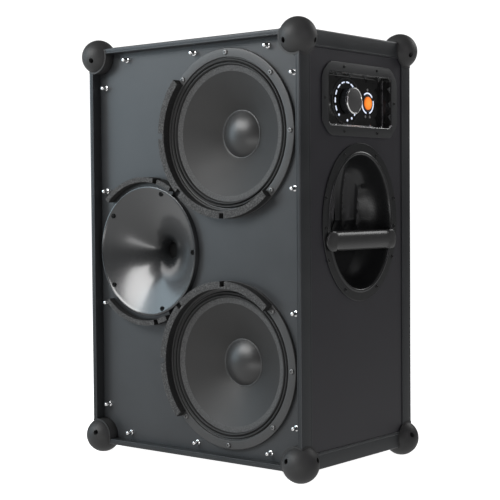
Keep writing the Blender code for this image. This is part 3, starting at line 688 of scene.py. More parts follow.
ball_mesh = corner_ball()
screw_mesh, shade_ring_mesh = ball_screws_and_shade_rings()
ball_screws, ball_shade_rings = [], []
for depth_name, sy in (("front", -1), ("rear", 1)):
    for level, sz in (("bottom", -1), ("top", 1)):
        for side, sx in (("left", -1), ("right", 1)):
            node = f"corner_{depth_name}_{level}_{side}"
            signs = (sx, sy, sz)
            centre = box_middle + Vector(s * (length / 2 - BALL_IN * MM) for s, length in zip(signs, box_size))
            ball = copy_to_corner(ball_mesh, signs, centre)
            if sz < 0:
                geometry = ball.verts[:] + ball.edges[:] + ball.faces[:]
                bmesh.ops.bisect_plane(ball, geom=geometry, plane_co=(0, 0, cad_low.z), plane_no=(0, 0, -1),
                                       clear_outer=True)
                bmesh.ops.holes_fill(ball, edges=[edge for edge in ball.edges if edge.is_boundary])
            piece(f"ball_{depth_name}_{level}_{side}", ball, BALL_RUBBER, nodes=[node])
            ball_screws.append((copy_to_corner(screw_mesh, signs, centre), HERE))
            ball_shade_rings.append((copy_to_corner(shade_ring_mesh, signs, centre), HERE))
piece("ball_screws", gathered(ball_screws), SCREW)
# painted shade: thin dark rings on the faces round each ball
piece("ball_shade_rings", gathered(ball_shade_rings), BALL_RUBBER)
for mesh in (ball_mesh, screw_mesh, shade_ring_mesh):
    mesh.free()
print("a ball is", round(2 * BALL_R, 1), "mm wide and stands out", round(BALL_R - BALL_IN, 1), "mm")

# %% [markdown]
# # The woofers
#
# A 10-inch driver sits on the baffle by its flange. From the rim inwards there are the satin flange with
# eight screws, the pleated surround, a border where the paper shows its pulp, the cone, a bead of glue and
# the lacquered dome. All of it is round, so each ring is turned on the lathe. The cone, dome and bead move
# with the voice coil, and everything else stays on the cabinet.

# %% The driver's own measures
basket_low, basket_high = flat_box("front", "upper_woofer_basket")
FLANGE_R = (basket_high.x - basket_low.x) / 2 / MM
FLANGE_FRONT = basket_high.z / MM  # w of the flange's face
FLANGE_BACK = -RECESS
SEAT = basket_low.z / MM  # where the magnet is fixed
MAGNET_R = 68
cone_low, cone_high = flat_box("front", "upper_woofer_cone")
CONE_R, CONE_EDGE = (cone_high.x - cone_low.x) / 2 / MM, cone_high.z / MM
cap_low, cap_high = flat_box("front", "upper_woofer_dust_cap")
CAP_R, CAP_TOP = (cap_high.x - cap_low.x) / 2 / MM, cap_high.z / MM
CAP_EDGE = CAP_TOP - 14.2
SURROUND_OUT, SURROUND_IN = 111.6, CONE_R - 0.3
BORDER = CONE_R - 8.5  # radius where the paper's plain border starts
print("flange", FLANGE_R, "mm, cone", round(CONE_R, 1), "mm, dome top at", round(CAP_TOP, 1), "mm")

# %% Sections of the driver
basket_section = eased([
    (FLANGE_R, FLANGE_BACK, 0.4), (FLANGE_R, FLANGE_FRONT, 1.3), (113.6, FLANGE_FRONT, 0.5),
    (113.0, FLANGE_FRONT - 3.2, 0.4), (106, FLANGE_FRONT - 4.1), (106, FLANGE_BACK - 2),
    (MAGNET_R, SEAT + 11), (MAGNET_R - 2, SEAT + 3), (31, SEAT + 3), (31, SEAT),
    (MAGNET_R + 4, SEAT), (111, FLANGE_BACK - 6), (114, FLANGE_BACK),
])


def pleats(count=2, points=14):
    """The surround: rounded pleats between the cone's edge and the basket's ledge, with deep grooves."""
    upper = []
    for i in range(count * points + 1):
        t = i / (count * points)
        wave = abs(sin(pi * count * t)) ** 0.8
        upper.append(((SURROUND_IN + (SURROUND_OUT - SURROUND_IN) * t) * MM,
                      (CONE_EDGE - 0.2 + 0.9 * t + 3.6 * wave) * MM))
    return upper + [(r, w - 0.7 * MM) for r, w in reversed(upper)]


def cone_section(first, last, points):
    """A part of the cone's face from radius first to last, with 1.2 mm of paper behind it."""
    face = []
    for i in range(points + 1):
        r = first + (last - first) * i / points
        share = max(0, (r - CAP_R) / (BORDER - CAP_R))
        flare = CONE_EDGE - 2.2 - (CONE_EDGE - 2.2 - CAP_EDGE + 0.5) * (1 - share**0.9)
        border = CONE_EDGE - 2.2 + 2.2 * (r - BORDER) / (CONE_R - BORDER)
        face.append((r * MM, (flare if r < BORDER else border) * MM))
    return face + [(r, w - 1.2 * MM) for r, w in reversed(face)]


dome_rise = CAP_TOP - CAP_EDGE - 1.2
dome_radius = (CAP_R**2 + dome_rise**2) / (2 * dome_rise)
dome_turns = [atan2(CAP_R, dome_radius - dome_rise) * (1 - i / 14) for i in range(15)]
dome_face = [(dome_radius * sin(a) * MM, (CAP_TOP - dome_radius * (1 - cos(a))) * MM) for a in dome_turns]
dome_face[-1] = (0, CAP_TOP * MM)
dome_section = dome_face + [(r * 0.975, w - 0.9 * MM) for r, w in reversed(dome_face)]
bead_section = [((CAP_R + 0.9 + 1.3 * cos(tau * i / 10)) * MM, (CAP_EDGE + 0.8 + 1.1 * sin(tau * i / 10)) * MM)
                for i in range(10)]
print("the dome is part of a ball", round(2 * dome_radius), "mm wide")


# %% Both woofers
def basket_windows(where):
    """Three long boxes that open six windows in the bowl."""
    boxes = []
    for i in range(3):
        box = slab([(x * MM, y * MM) for x, y in ((-190, -23), (190, -23), (190, 23), (-190, 23))], -15, 15)
        box.transform(where @ Matrix.Translation((0, 0, (FLANGE_BACK + SEAT) / 2 * MM))
                      @ Matrix.Rotation(pi / 3 * i + pi / 6, 4, "Z"))
        boxes.append(box)
    return boxes


def radial_weights(surround, axis_u, axis_v):
    """Lets the surround's inner edge follow the cone while its outer edge stays: 1 inside, 0 outside."""
    inverse = FACES["front"].inverted()
    weights = surround.data.attributes["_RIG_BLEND"].data
    for vertex, weight in zip(surround.data.vertices, weights):
        place = inverse @ vertex.co
        radius = hypot(place.x - axis_u, place.y - axis_v) / MM
        share = min(1, max(0, (SURROUND_OUT - 1.5 - radius) / (SURROUND_OUT - SURROUND_IN - 3)))
        weight.value = share * share * (3 - 2 * share)


RIM_SCREWS, SCREW_CIRCLE = 8, 120.5  # mm, radius of the ring of eight screws
for place in ("upper", "lower"):
    name, body = f"{place}_woofer", f"{place}_cone"
    u, v = centre_on("front", f"{name}_basket")
    where = spot("front", u, v)
    basket = lathe(basket_section, 128)
    basket.transform(where)
    basket = carved(basket, basket_windows(where))
    piece(f"{name}_rim", basket, CAST_PAINT, nodes=[f"{name}_basket"])
    surround = piece(f"{name}_pleats", lathe(pleats(), 128), PLEATED,
                     nodes=[f"{name}_surround"], where=where)
    surround.parent = None
    del surround["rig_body"]
    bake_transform(surround, "cabinet", body, start=where @ Vector((SURROUND_OUT * MM, 0, 0)),
             end=where @ Vector((SURROUND_IN * MM, 0, 0)))
    radial_weights(surround, u, v)
    piece(f"{name}_diaphragm", lathe(cone_section(CAP_R - 8, BORDER - 0.4, 20), 128), CONE_PAPER,
          body, nodes=[f"{name}_cone"], where=where)
    piece(f"{name}_pulp_edge", lathe(cone_section(BORDER - 0.4, CONE_R, 4), 128), PULP_EDGE, body,
          where=where)
    piece(f"{name}_dome", lathe(dome_section, 96), CAP_LACQUER, body,
          nodes=[f"{name}_dust_cap"], where=where)
    piece(f"{name}_glue_bead", lathe(bead_section, 96), BEAD_GLUE, body, where=where)
    screws = [(screw_head(3.7, 2.3), around("front", u, v, SCREW_CIRCLE, tau * i / RIM_SCREWS, FLANGE_FRONT))
              for i in range(RIM_SCREWS)]
    piece(f"{name}_screws", gathered(screws), RIM_HEAD)
    print(name, "stands at", round(u / MM, 1), round(v / MM, 1))

# %% [markdown]
# # The horn
#
# The round horn is moulded in one piece: a mouth that stands a little above the baffle, a gentle lip where
# five screws hold it, and a bell that drops ever more steeply to the throat. A short ledge beside the
# woofers carries the grille's foam, and a black disc of painted shade closes the throat. The bell's curve follows
# the same law as its solid, in many more steps, because a glossy surface shows every facet.

# %% The bell's curve
horn_low, horn_high = flat_box("front", "horn")
HORN_TOP = horn_high.z / MM  # w of the mouth's edge
horn_u, horn_v = centre_on("front", "compression_driver")
HORN_R = (horn_u - horn_low.x) / MM
HORN_LENGTH, THROAT_R, HORN_WALL = 67, 13, 3


def bell(share):
    """Radius of the bell at a share of its depth."""
    return THROAT_R + (HORN_R - 0.5 - THROAT_R) * (1 - share) ** 2


shares = [(i / 40) ** 1.5 for i in range(41)]
inner_face = [(bell(s), HORN_TOP - HORN_LENGTH * s) for s in shares]
lip = [(HORN_R, -RECESS), (HORN_R, HORN_TOP - 0.8), (HORN_R - 0.25, HORN_TOP - 0.25), (HORN_R - 0.9, HORN_TOP),
       (HORN_R - 2.2, HORN_TOP), (HORN_R - 2.7, HORN_TOP - 0.4)]
inner_face = [(r, w) for r, w in inner_face if r < HORN_R - 3.2]
outer_face = [(bell(s) + HORN_WALL, HORN_TOP - HORN_LENGTH * s) for s in reversed(shares)
              if RECESS + 2 < HORN_LENGTH * s - HORN_TOP < HORN_LENGTH - 6]
neck = [(THROAT_R + 9, HORN_TOP - HORN_LENGTH), (THROAT_R + 9, HORN_TOP - HORN_LENGTH + 5)]
bell_section = [(r * MM, w * MM) for r, w in lip + inner_face + neck + outer_face + [(HORN_R - 20, -RECESS - 1)]]
print("horn mouth", round(2 * HORN_R), "mm, throat", 2 * THROAT_R, "mm")


# %% The bell with its ledges and screws
def end_angle(node, sign):
    """Angle from the horn's centre to the end of a foam strip that is nearest the woofers, in degrees."""
    solid = frame["nodes"][node]
    inverse = FACES["front"].inverted()
    corners = [inverse @ vertex.co for vertex in solid.data.vertices]
    return min(abs(atan2(p.y - horn_v, p.x - horn_u)) for p in corners) * 180 / pi * sign


above, below = end_angle("horn_foam_top", 1), end_angle("horn_foam_bottom", -1)
LEDGE_R, FOAM_IN, FOAM_OUT = 108.2, 108.5, 116.3
where = spot("front", horn_u, horn_v)
piece("horn_bell", lathe(bell_section, 128), HORN_GLOSS, nodes=["horn"], where=where)
ledges = [(strip(HORN_R - 2, LEDGE_R, -RECESS, HORN_TOP - 2, start, end, ease=0.6), where)
          for start, end in ((above, 136), (-147, below))]
piece("horn_ledges", gathered(ledges), MOULDED)
HORN_SCREWS, HORN_CIRCLE = 5, 94.2  # mm
level = HORN_TOP - HORN_LENGTH * (1 - sqrt((HORN_CIRCLE - THROAT_R) / (HORN_R - 0.5 - THROAT_R)))
screws = [(screw_head(4.0, 1.8), around("front", horn_u, horn_v, HORN_CIRCLE, tau * i / HORN_SCREWS, level - 0.2))
          for i in range(HORN_SCREWS)]
piece("horn_screws", gathered(screws), BLACK_HEAD)
# painted shade: a black disc closes the throat so that it stays dark
throat_shade_disc = eased([(ON_AXIS, 0.6), (THROAT_R - 0.3, 0.6, 0.2), (THROAT_R - 0.3, 1.4, 0.2), (ON_AXIS, 1.4)])
throat_end = where @ Matrix.Translation((0, 0, (HORN_TOP - HORN_LENGTH) * MM))
piece("horn_throat_shade", lathe(throat_shade_disc, 64), BLACK_HEAD, where=throat_end)
print("ledges start at", round(above, 1), "and", round(below, 1), "degrees")

# %% [markdown]
# ## Foam for the grille
#
# The grille rests on self-adhesive foam that is glued round the drivers' rims. Each strip is cut out with
# a square notch wherever a screw has to stay within reach. Cut foam never has a true edge, so each point
# of the strip is shifted a little by noise, and the pores come from the finish.

# %% The four foam strips
FOAM_TOP = flat_box("front", "upper_woofer_foam")[1].z / MM
for name, start, end, notches in (
    ("upper_woofer_foam", 138, 312, (180, 225, 270)), ("lower_woofer_foam", 48, 222, (90, 135, 180)),
):
    u, v = centre_on("front", name.replace("foam", "basket"))
    mesh = strip(FLANGE_R - 11.5, FLANGE_R - 0.2, FLANGE_FRONT + 0.2, FOAM_TOP - 0.2, start, end, notches,
                 rough=0.25)
    piece(f"{name}_strip", mesh, FOAM, nodes=[name], where=spot("front", u, v))
for name, start, end, notches in (
    ("horn_foam_top", above, 135, (76.5,)), ("horn_foam_bottom", -135, below, (-76.5,)),
):
    mesh = strip(FOAM_IN, FOAM_OUT, -RECESS + 0.1, FOAM_TOP - 0.2, start + 0.3, end - 0.3, notches, rough=0.25)
    piece(f"{name}_strip", mesh, FOAM, nodes=[name], where=where)

# %% [markdown]
# ## Studs that hold the grille
#
# Fourteen bright ball studs stand on the baffle, and the grille snaps over them. Each is turned: a hexagon
# foot would be lost at this size, so a round washer, a slim neck and a ball are enough.

# %% The fourteen studs
BAFFLE_FRONT = flat_box("front", "front_baffle")[1].z / MM
stud_section = eased([
    (0, 0), (4.4, 0), (4.4, 1.6, 0.4), (2.6, 2.2, 0.4), (2.2, 5.4, 0.5), (3.5, 7.2, 1.2), (3.6, 9.6, 1.6),
    (2.2, 11.4, 1.0), (ON_AXIS, 11.6),
])
stud_places = [(u, v) for u in (-143, 0, 143) for v in (-298, 298)]
stud_places += [(u, v) for u in (-191, 191) for v in (-256, -90, 90, 256)]
studs = [(lathe(stud_section, 24), spot("front", u * MM, v * MM, BAFFLE_FRONT * MM)) for u, v in stud_places]
piece("grille_studs", gathered(studs), CHROME)
print("studs:", len(stud_places))

# %% [markdown]
# # The control panel
#
# A thin plate with cut corners lies on the right side. Its middle drops into a glossy tray, where the
# volume knob, its ring of level lights and the power button stand. The plate is a slab with a hole, and the
# tray is lofted from one outline at several sizes, so its chamfer and its rounded inner corner come free.
# Small teeth in the window's edge snap over the tray. A bright metal strip on the lower edge only, and the
# lower teeth in its finish, are a painted highlight; the strip is cut from a full ring, which keeps it on the same
# outline as the tray.

# %% Plate and tray
plate_low, plate_high = flat_box("right", "control_plate")
plate_u, plate_v = centre_on("right", "control_plate")
PLATE_TOP = plate_high.z / MM
WINDOW_W, WINDOW_H, WINDOW_CORNER, WINDOW_DEPTH = 162, 76, 6, 14.8
TRAY_FLOOR = PLATE_TOP - WINDOW_DEPTH
half_w, half_h = (plate_high.x - plate_low.x) / 2 / MM, (plate_high.y - plate_low.y) / 2 / MM
CUT = 19  # mm, off each corner of the plate
plate_outline = eased([
    (half_w, half_h - CUT, 9), (half_w - CUT, half_h, 9), (CUT - half_w, half_h, 9), (-half_w, half_h - CUT, 9),
    (-half_w, CUT - half_h, 9), (CUT - half_w, -half_h, 9), (half_w - CUT, -half_h, 9), (half_w, CUT - half_h, 9),
])


def window_outline(inset):
    """The window's outline, made smaller by an inset in millimetres."""
    return oblong(WINDOW_W - 2 * inset, WINDOW_H - 2 * inset, max(1, WINDOW_CORNER - inset))


def window_ring(inset, w):
    return [Vector((u, v, w * MM)) for u, v in window_outline(inset)]


where = spot("right", plate_u, plate_v)
knob_u, knob_v = centre_on("right", "volume_knob")
button_u, button_v = centre_on("right", "power_button")
plate = slab(plate_outline, PLATE_TOP - 1.5, PLATE_TOP, 0.5)
plate = carved(plate, [slab(window_outline(-1.9), -20, 20)])
piece("control_face", plate, MOULDED, nodes=["control_plate"], where=where)
tray_rings = [
    (-2, TRAY_FLOOR - 2.2), (-2.4, PLATE_TOP - 0.6), (-1.9, PLATE_TOP + 0.1), (-1.5, PLATE_TOP + 0.1),
    (0.2, PLATE_TOP - 1.8), (0.5, TRAY_FLOOR + 1.6), (0.9, TRAY_FLOOR + 0.7), (1.6, TRAY_FLOOR + 0.2),
    (2.6, TRAY_FLOOR),
]
tray = loft([window_ring(inset, w) for inset, w in tray_rings])
holes = []
for u, v, radius in ((knob_u, knob_v, 3.4), (button_u, button_v, 10.4)):
    hole = rod(radius, -30, 0, 48)
    hole.transform(Matrix.Translation((u - plate_u, v - plate_v, 0)))
    holes.append(hole)
piece("control_tray", carved(tray, holes), WINDOW_GLOSS, where=where)


def tooth(u, v, turn, rise=5.0, length=12.0):
    """A small slanted tooth in the window's edge that snaps over the tray."""
    outline = eased([(-0.55 * length, 1.5, 0.5), (-0.2 * length, -rise, 0.8), (0.45 * length, 1.5, 0.5)])
    mesh = slab(outline, PLATE_TOP - 2.2, PLATE_TOP - 0.7, 0.4)
    mesh.transform(Matrix.Translation((u * MM, v * MM, 0)) @ Matrix.Rotation(turn, 4, "Z"))
    return mesh, HERE


top_teeth = [tooth(u, WINDOW_H / 2, 0.0, rise) for u, rise in ((-58, 4), (-24, 6), (14, 5), (52, 7))]
side_teeth = [tooth(WINDOW_W / 2, v, -pi / 2, rise) for v, rise in ((-22, 6), (-2, 5), (20, 7))]
piece("control_teeth", gathered(top_teeth + side_teeth), MOULDED, where=where)
highlight_strip_rings = ((-1.5, 0.12), (-1.2, 0.3), (0.1, -0.8), (0.6, -2.6), (-0.2, -1.6))
highlight_strip = loft([window_ring(inset, PLATE_TOP + rise) for inset, rise in highlight_strip_rings], loop=True)
upper = slab([(u * MM, v * MM) for u, v in ((-100, -34), (100, -34), (100, 60), (-100, 60))], -10, 20)
highlight_strip = carved(highlight_strip, [upper])  # painted highlight: only the lower edge is bright
# the lower teeth take the same bright finish as painted highlight
low_teeth = [tooth(u, -WINDOW_H / 2, pi, rise, 8) for u, rise in ((-64, 3), (-36, 3), (26, 3), (56, 3))]
piece("control_highlight_strip", gathered([(highlight_strip, HERE)] + low_teeth), HIGHLIGHT_TRIM, where=where)
plate_screws = [(u, v) for u in (-43.4, 43.4) for v in (-47.5, 47.5)] + [(-91, 0), (91, 0)]
screws = [(screw_head(2.3, 1.1), spot("right", plate_u + u * MM, plate_v + v * MM, PLATE_TOP * MM))
          for u, v in plate_screws]
piece("control_screws", gathered(screws), SCREW)
print("window", WINDOW_W, "x", WINDOW_H, "mm,", WINDOW_DEPTH, "mm deep")

# %% [markdown]
# ## Level lights and status lights
#
# Light guides stand just proud of the tray's floor. Those round the knob are dashes, with a few dots where
# the scale begins, and three arcs go round the button. All are strips of one ring, so one maker serves.
# Angles here run clockwise from the top, as on a clock.

# %% Light guides
def clock_strip(inner, outer, start, end, height=0.6):
    """A strip of a ring between two clockwise angles from the top, standing on the tray's floor."""
    return strip(inner, outer, TRAY_FLOOR, TRAY_FLOOR + height, 90 - end, 90 - start, ease=0.25)


def dot(radius, height=0.6):
    return lathe(eased([(ON_AXIS, TRAY_FLOOR), (radius, TRAY_FLOOR), (radius, TRAY_FLOOR + height, 0.3),
                        (ON_AXIS, TRAY_FLOOR + height)]), 20)


LEVEL_R, LEVEL_STEP = 28.3, 24
knob_place = spot("right", knob_u, knob_v)
level_marks = [(clock_strip(LEVEL_R - 0.6, LEVEL_R + 1.4, middle - 7.5, middle + 7.5), knob_place)
               for middle in range(-113, 128, LEVEL_STEP)]
for angle in (-137, 151, 175):
    a = radians(90 - angle)
    level_marks.append((dot(1.8), spot("right", knob_u + LEVEL_R * MM * cos(a), knob_v + LEVEL_R * MM * sin(a))))
piece("level_lights", gathered(level_marks), LED_WHITE, nodes=["level_light_ring"])
button_place = spot("right", button_u, button_v)
arcs = [(clock_strip(14.4, 16.4, start, start + 88), button_place) for start in (-36, 74, 194)]
piece("status_lights", gathered(arcs), LED_WHITE, nodes=["status_light_ring"])
marks = [(dot(2.1, 0.3), spot("right", button_u + u * MM, button_v + v * MM))
         for u, v in ((0, 20.5), (-6, -20.5), (6, -20.5))]
piece("status_marks", gathered(marks), LED_FAINT)
print("level marks:", len(level_marks))

# %% [markdown]
# ## Knob and button
#
# The knob is a fluted drum with a bright turned ring on its front edge and a satin face. Flutes let a
# finger grip it and show that it turns. A lathe can't make flutes, so the drum is lofted from rings whose
# radius waves. The button is a shallow lens in a black collar.

# %% Knob
KNOB_TOP, KNOB_LOW = flat_box("right", "volume_knob")[1].z / MM, TRAY_FLOOR + 1
KNOB_R = (flat_box("right", "volume_knob")[1].x - flat_box("right", "volume_knob")[0].x) / 2 / MM


def fluted_ring(radius, w, depth, flutes=36, points=216):
    ring = []
    for i in range(points):
        a = tau * i / points
        r = (radius - depth * (0.5 + 0.5 * cos(flutes * a))) * MM
        ring.append(Vector((r * cos(a), r * sin(a), w * MM)))
    return ring


drum_rings = (
    (3, KNOB_LOW, 0), (1.6, KNOB_LOW + 0.6, 0.3), (1.0, KNOB_LOW + 2, 0.55), (0.5, KNOB_TOP - 5.2, 0.55),
    (0.9, KNOB_TOP - 4.4, 0.0), (2.6, KNOB_TOP - 2.4, 0.0),
)
drum = loft([fluted_ring(KNOB_R - inset, w, depth) for inset, w, depth in drum_rings])
shaft = rod(3, TRAY_FLOOR - 11, KNOB_LOW + 1, 24)
piece("knob_drum", gathered([(drum, HERE), (shaft, HERE)]), MOULDED, "knob",
      nodes=["volume_knob"], where=knob_place)
ring_corners = ((2.2, 4.6), (0.6, 4.6, 0.3), (0, 3.8, 0.4), (0, 1.6, 0.4), (1.2, 0.5, 0.5), (1.7, 0.5, 0.2),
                (2.2, 1.2, 0.2))  # in from the edge, down from the face, rounding
ring_section = eased([(KNOB_R - inset, KNOB_TOP - drop, *rounding) for inset, drop, *rounding in ring_corners])
piece("knob_ring", lathe(ring_section, 96), CHROME, "knob", where=knob_place)
KNOB_FACE = finish("knob_face", grey(0.075), grey(0.12), (0.32, 0.42), 600, 0.01, mottle=0.4, Metallic=0.6)
dome = [((KNOB_R - 2.1) * (1 - i / 12), KNOB_TOP - 1.5 * (1 - i / 12) ** 2) for i in range(13)]  # slightly domed
dome = [(0, KNOB_TOP - 3), (KNOB_R - 2.1, KNOB_TOP - 3), *dome]
face_section = [(max(r, ON_AXIS) * MM, w * MM) for r, w in dome]
piece("knob_face", lathe(face_section, 96), KNOB_FACE, "knob", where=knob_place)
collar = eased([(33.8, TRAY_FLOOR), (33.8, TRAY_FLOOR + 0.9, 0.3), (36.6, TRAY_FLOOR + 0.7, 0.4),
                (36.9, TRAY_FLOOR, 0.1)])
piece("knob_collar", lathe(collar, 128), EDGE_GLOSS, where=knob_place)
print("knob", round(2 * KNOB_R), "mm wide,", round(KNOB_TOP - KNOB_LOW, 1), "mm long")

# %% Button
BUTTON_TOP = flat_box("right", "power_button")[1].z / MM
lens = eased([(ON_AXIS, TRAY_FLOOR - 2), (9.9, TRAY_FLOOR - 2), (9.9, BUTTON_TOP - 0.6, 0.6),
              (7, BUTTON_TOP - 0.1, 2), (ON_AXIS, BUTTON_TOP)])
stem = rod(2.5, TRAY_FLOOR - 4.7, TRAY_FLOOR - 1.5, 16)
button = gathered([(lathe(lens, 64), HERE), (stem, HERE)])
piece("button_lens", button, LENS, "button", nodes=["power_button"], where=button_place)
guard = eased([(10.5, TRAY_FLOOR), (10.5, TRAY_FLOOR + 1.2, 0.4), (12.4, TRAY_FLOOR + 0.9, 0.4),
               (13.0, TRAY_FLOOR, 0.1)])
piece("button_guard", lathe(guard, 64), MOULDED, where=button_place)
print("button stands", round(BUTTON_TOP - TRAY_FLOOR, 1), "mm above the tray's floor")

# %% [markdown]
# # The grip recesses
#
# Each side has a deep moulded cup with a rubber grip across it. The cup is a loft of ellipses that shrink
# on their way in, and broad ribs stiffen its back wall. The ribs could be separate bars, but real
# ones are part of the moulding, so the depth of each point simply rises over a rib and falls in the groove
# between two, and fades out towards the cup's edge. The rim is a bead that catches the light.

# %% Cup
cup_low, cup_high = flat_box("right", "right_handle_cup")
BEZEL, CUP_DEPTH, CUP_WALL = 18, 56, 3
HALF_U, HALF_V = (cup_high.x - cup_low.x) / 2 / MM - BEZEL, (cup_high.y - cup_low.y) / 2 / MM - BEZEL
BEZEL_TOP = cup_high.z / MM
RIB_PITCH, RIB_RISE, RIB_SHIFT = 32, 9.0, 9.0  # mm


def rib_height(u, v):
    """How far the back wall rises at a point: ribs that bow outwards a little, with narrow grooves."""
    bowed = (u - RIB_SHIFT) / sqrt(max(0.2, 1 - 0.25 * ((v - 10) / HALF_V) ** 2)) / RIB_PITCH
    inside = max(0.0, min(1.0, (2.55 - abs(bowed)) * 6)) * max(0.0, min(1.0, (v + 15) / 18))
    return RIB_RISE * abs(cos(pi * bowed)) ** 0.7 * inside


def cup_ring(shrink, w, ribs=0.0, points=120):
    ring = []
    for u, v in oval(HALF_U - shrink, HALF_V - shrink, points):
        ring.append(Vector((u, v, (w + ribs * rib_height(u / MM, v / MM)) * MM)))
    return ring


def cup_mesh():
    wall = [(0.0, BEZEL_TOP), (0.8, -3), (1.8, -10), (3.4, -20), (6.5, -30), (11, -39), (17, -46)]
    back = [(18 + i * (HALF_U - 19) / 22, -47 - 9 * (1 - (1 - i / 22) ** 2)) for i in range(23)]
    rings = [cup_ring(shrink, w, max(0.0, min(1.0, (shrink - 2) / 14))) for shrink, w in wall]
    rings += [cup_ring(shrink, w, 1.0) for shrink, w in back]
    outside = -CUP_DEPTH - CUP_WALL
    behind = [(HALF_U - 1, outside), (40, outside), (14, -50), (3, -32), (-CUP_WALL, -1.2)]
    rings += [cup_ring(shrink, w) for shrink, w in behind]
    rim = [(-BEZEL, -1.2), (-BEZEL, BEZEL_TOP - 0.6), (-BEZEL + 0.6, BEZEL_TOP), (-5.2, BEZEL_TOP),
           (-4.6, BEZEL_TOP + 0.9), (-3.2, BEZEL_TOP + 1.5), (-1.6, BEZEL_TOP + 1.4), (-0.5, BEZEL_TOP + 0.8)]
    rings += [cup_ring(shrink, w) for shrink, w in rim]
    return loft(rings, loop=True)


# %% Grip bar
grip_low, grip_high = flat_box("right", "right_grip_bar")
GRIP_HALF, GRIP_TALL = (grip_high.x - grip_low.x) / 2 / MM, (grip_high.y - grip_low.y) / MM
GRIP_TOP, GRIP_IN, GRIP_REST = grip_high.z / MM, -17, BEZEL_TOP + 0.3


def grip_ring(along, points=32):
    """The bar's section at a share of its half length: full in the middle, rounded away at its ends."""
    past = max(0.0, abs(along) - 0.84) / 0.16
    full = sqrt(max(0.0, 1 - past**2.4))
    drop = max(0.0, min(1.0, (0.79 - abs(along)) / 0.09))
    low = GRIP_REST + (GRIP_IN - GRIP_REST) * drop * drop * (3 - 2 * drop)
    high = GRIP_REST + (GRIP_TOP - GRIP_REST) * (0.25 + 0.75 * full)
    ring = []
    for i in range(points):
        a = tau * i / points
        across = (1 if cos(a) > 0 else -1) * abs(cos(a)) ** 0.72
        out = (1 if sin(a) > 0 else -1) * abs(sin(a)) ** 0.72
        ring.append(Vector((along * GRIP_HALF * MM, across * GRIP_TALL / 2 * max(0.12, full) * MM,
                            ((low + high) / 2 + out * (high - low) / 2) * MM)))
    return ring


grip_stops = [-1, -0.997, -0.99, -0.975, -0.95, -0.92, -0.88, -0.84, -0.79]
grip_stops += [-0.785 + 0.0125 * i for i in range(7)]
grip_stops += [-0.5, -0.25, 0] + [0.25, 0.5] + [-stop for stop in reversed(grip_stops)]
HANDLE_SCREWS = [(side * u, v) for side in (-1, 1)
                 for u, v in ((41.5, 99.6), (89.6, 35.7), (89.6, -7.7), (84, -55.4), (41.5, -99.8))]
for face in ("right", "left"):
    u, v = centre_on(face, f"{face}_handle_cup")
    grip_v = centre_on(face, f"{face}_grip_bar")[1]
    where = spot(face, u, v)
    mesh = cup_mesh()
    if face == "left":  # the ribs bow the same way on both sides
        bmesh.ops.scale(mesh, vec=(-1, 1, 1), verts=mesh.verts)
    piece(f"{face}_cup", mesh, CUP_PLASTIC, nodes=[f"{face}_handle_cup"], where=where)
    piece(f"{face}_grip", loft([grip_ring(along) for along in grip_stops]), GRIP_RUBBER,
          nodes=[f"{face}_grip_bar"], where=spot(face, u, grip_v), crease=60)
    screws = [(screw_head(2.6, 1.3), spot(face, u + du * MM, v + dv * MM, BEZEL_TOP * MM))
              for du, dv in HANDLE_SCREWS]
    piece(f"{face}_cup_screws", gathered(screws), SCREW)
print("cup opening", round(2 * HALF_U), "x", round(2 * HALF_V), "mm; grip", round(2 * GRIP_HALF), "mm long")

# %% [markdown]
# # The rear
#
# Nothing is known of the rear but that such a cabinet has its sockets there. A plain plate carries two
# round inlets, a small jack and an oblong power inlet, and a ring of screws holds the rear board.

# %% Sockets and screws of the rear
socket_u, socket_v = centre_on("rear", "socket_plate")
SOCKET_TOP = flat_box("rear", "socket_plate")[1].z / MM


def round_socket():
    """A raised ring round a dark well with three sleeves in it."""
    ring = eased([(9.6, 0), (13, 0), (13, 1.6, 0.5), (10.6, 2.0, 0.5), (9.6, 1.4, 0.3)])
    parts = [(lathe(ring, 48), HERE), (rod(9.7, -0.2, 0.3, 48), HERE)]
    for i in range(3):
        a = tau * i / 3 + pi / 2
        sleeve = eased([(1.0, 0.2), (2.0, 0.2), (2.0, 1.3, 0.2), (1.0, 1.3, 0.1)])
        parts.append((lathe(sleeve, 20), Matrix.Translation((5.2 * MM * cos(a), 5.2 * MM * sin(a), 0))))
    return gathered(parts)


def framed_inlet(width, height, corner):
    """An oblong inlet: an eased frame round a sunk floor."""
    rings = []
    for inset, w in ((0, 0), (0, 1.4), (0.5, 1.8), (1.8, 1.8), (2.3, 1.3), (2.3, 0.3)):
        outline = oblong(width - 2 * inset, height - 2 * inset, max(0.5, corner - inset))
        rings.append([Vector((u, v, w * MM)) for u, v in outline])
    return loft(rings)


sockets = [(round_socket(), (-46, 6)), (round_socket(), (-12, 6)), (framed_inlet(34, 24, 5), (40, 6)),
           (lathe(eased([(2.2, 0), (5, 0), (5, 1.5, 0.4), (2.2, 1.5, 0.3)]), 32), (-29, -24)),
           (framed_inlet(20, 12, 3), (40, -24))]
sockets = [(mesh, spot("rear", socket_u + u * MM, socket_v + v * MM, SOCKET_TOP * MM)) for mesh, (u, v) in sockets]
piece("rear_sockets", gathered(sockets), WINDOW_GLOSS)
rear_high = flat_box("rear", "rear_panel")[1]
edge_u, edge_v = rear_high.x / MM - 12, rear_high.y / MM - 12
places = [(u, v, rear_high.z / MM) for u in (-edge_u, edge_u) for v in (-250, -90, 90, 250)]
places += [(u, v, rear_high.z / MM) for u in (-95, 95) for v in (-edge_v, edge_v)]
places += [(socket_u / MM + u, socket_v / MM + v, SOCKET_TOP) for u in (-68, 68) for v in (-35, 35)]
screws = [(screw_head(3, 1.5, "cross"), spot("rear", u * MM, v * MM, w * MM)) for u, v, w in places]
piece("rear_screws", gathered(screws), SCREW)
print("rear screws:", len(places))

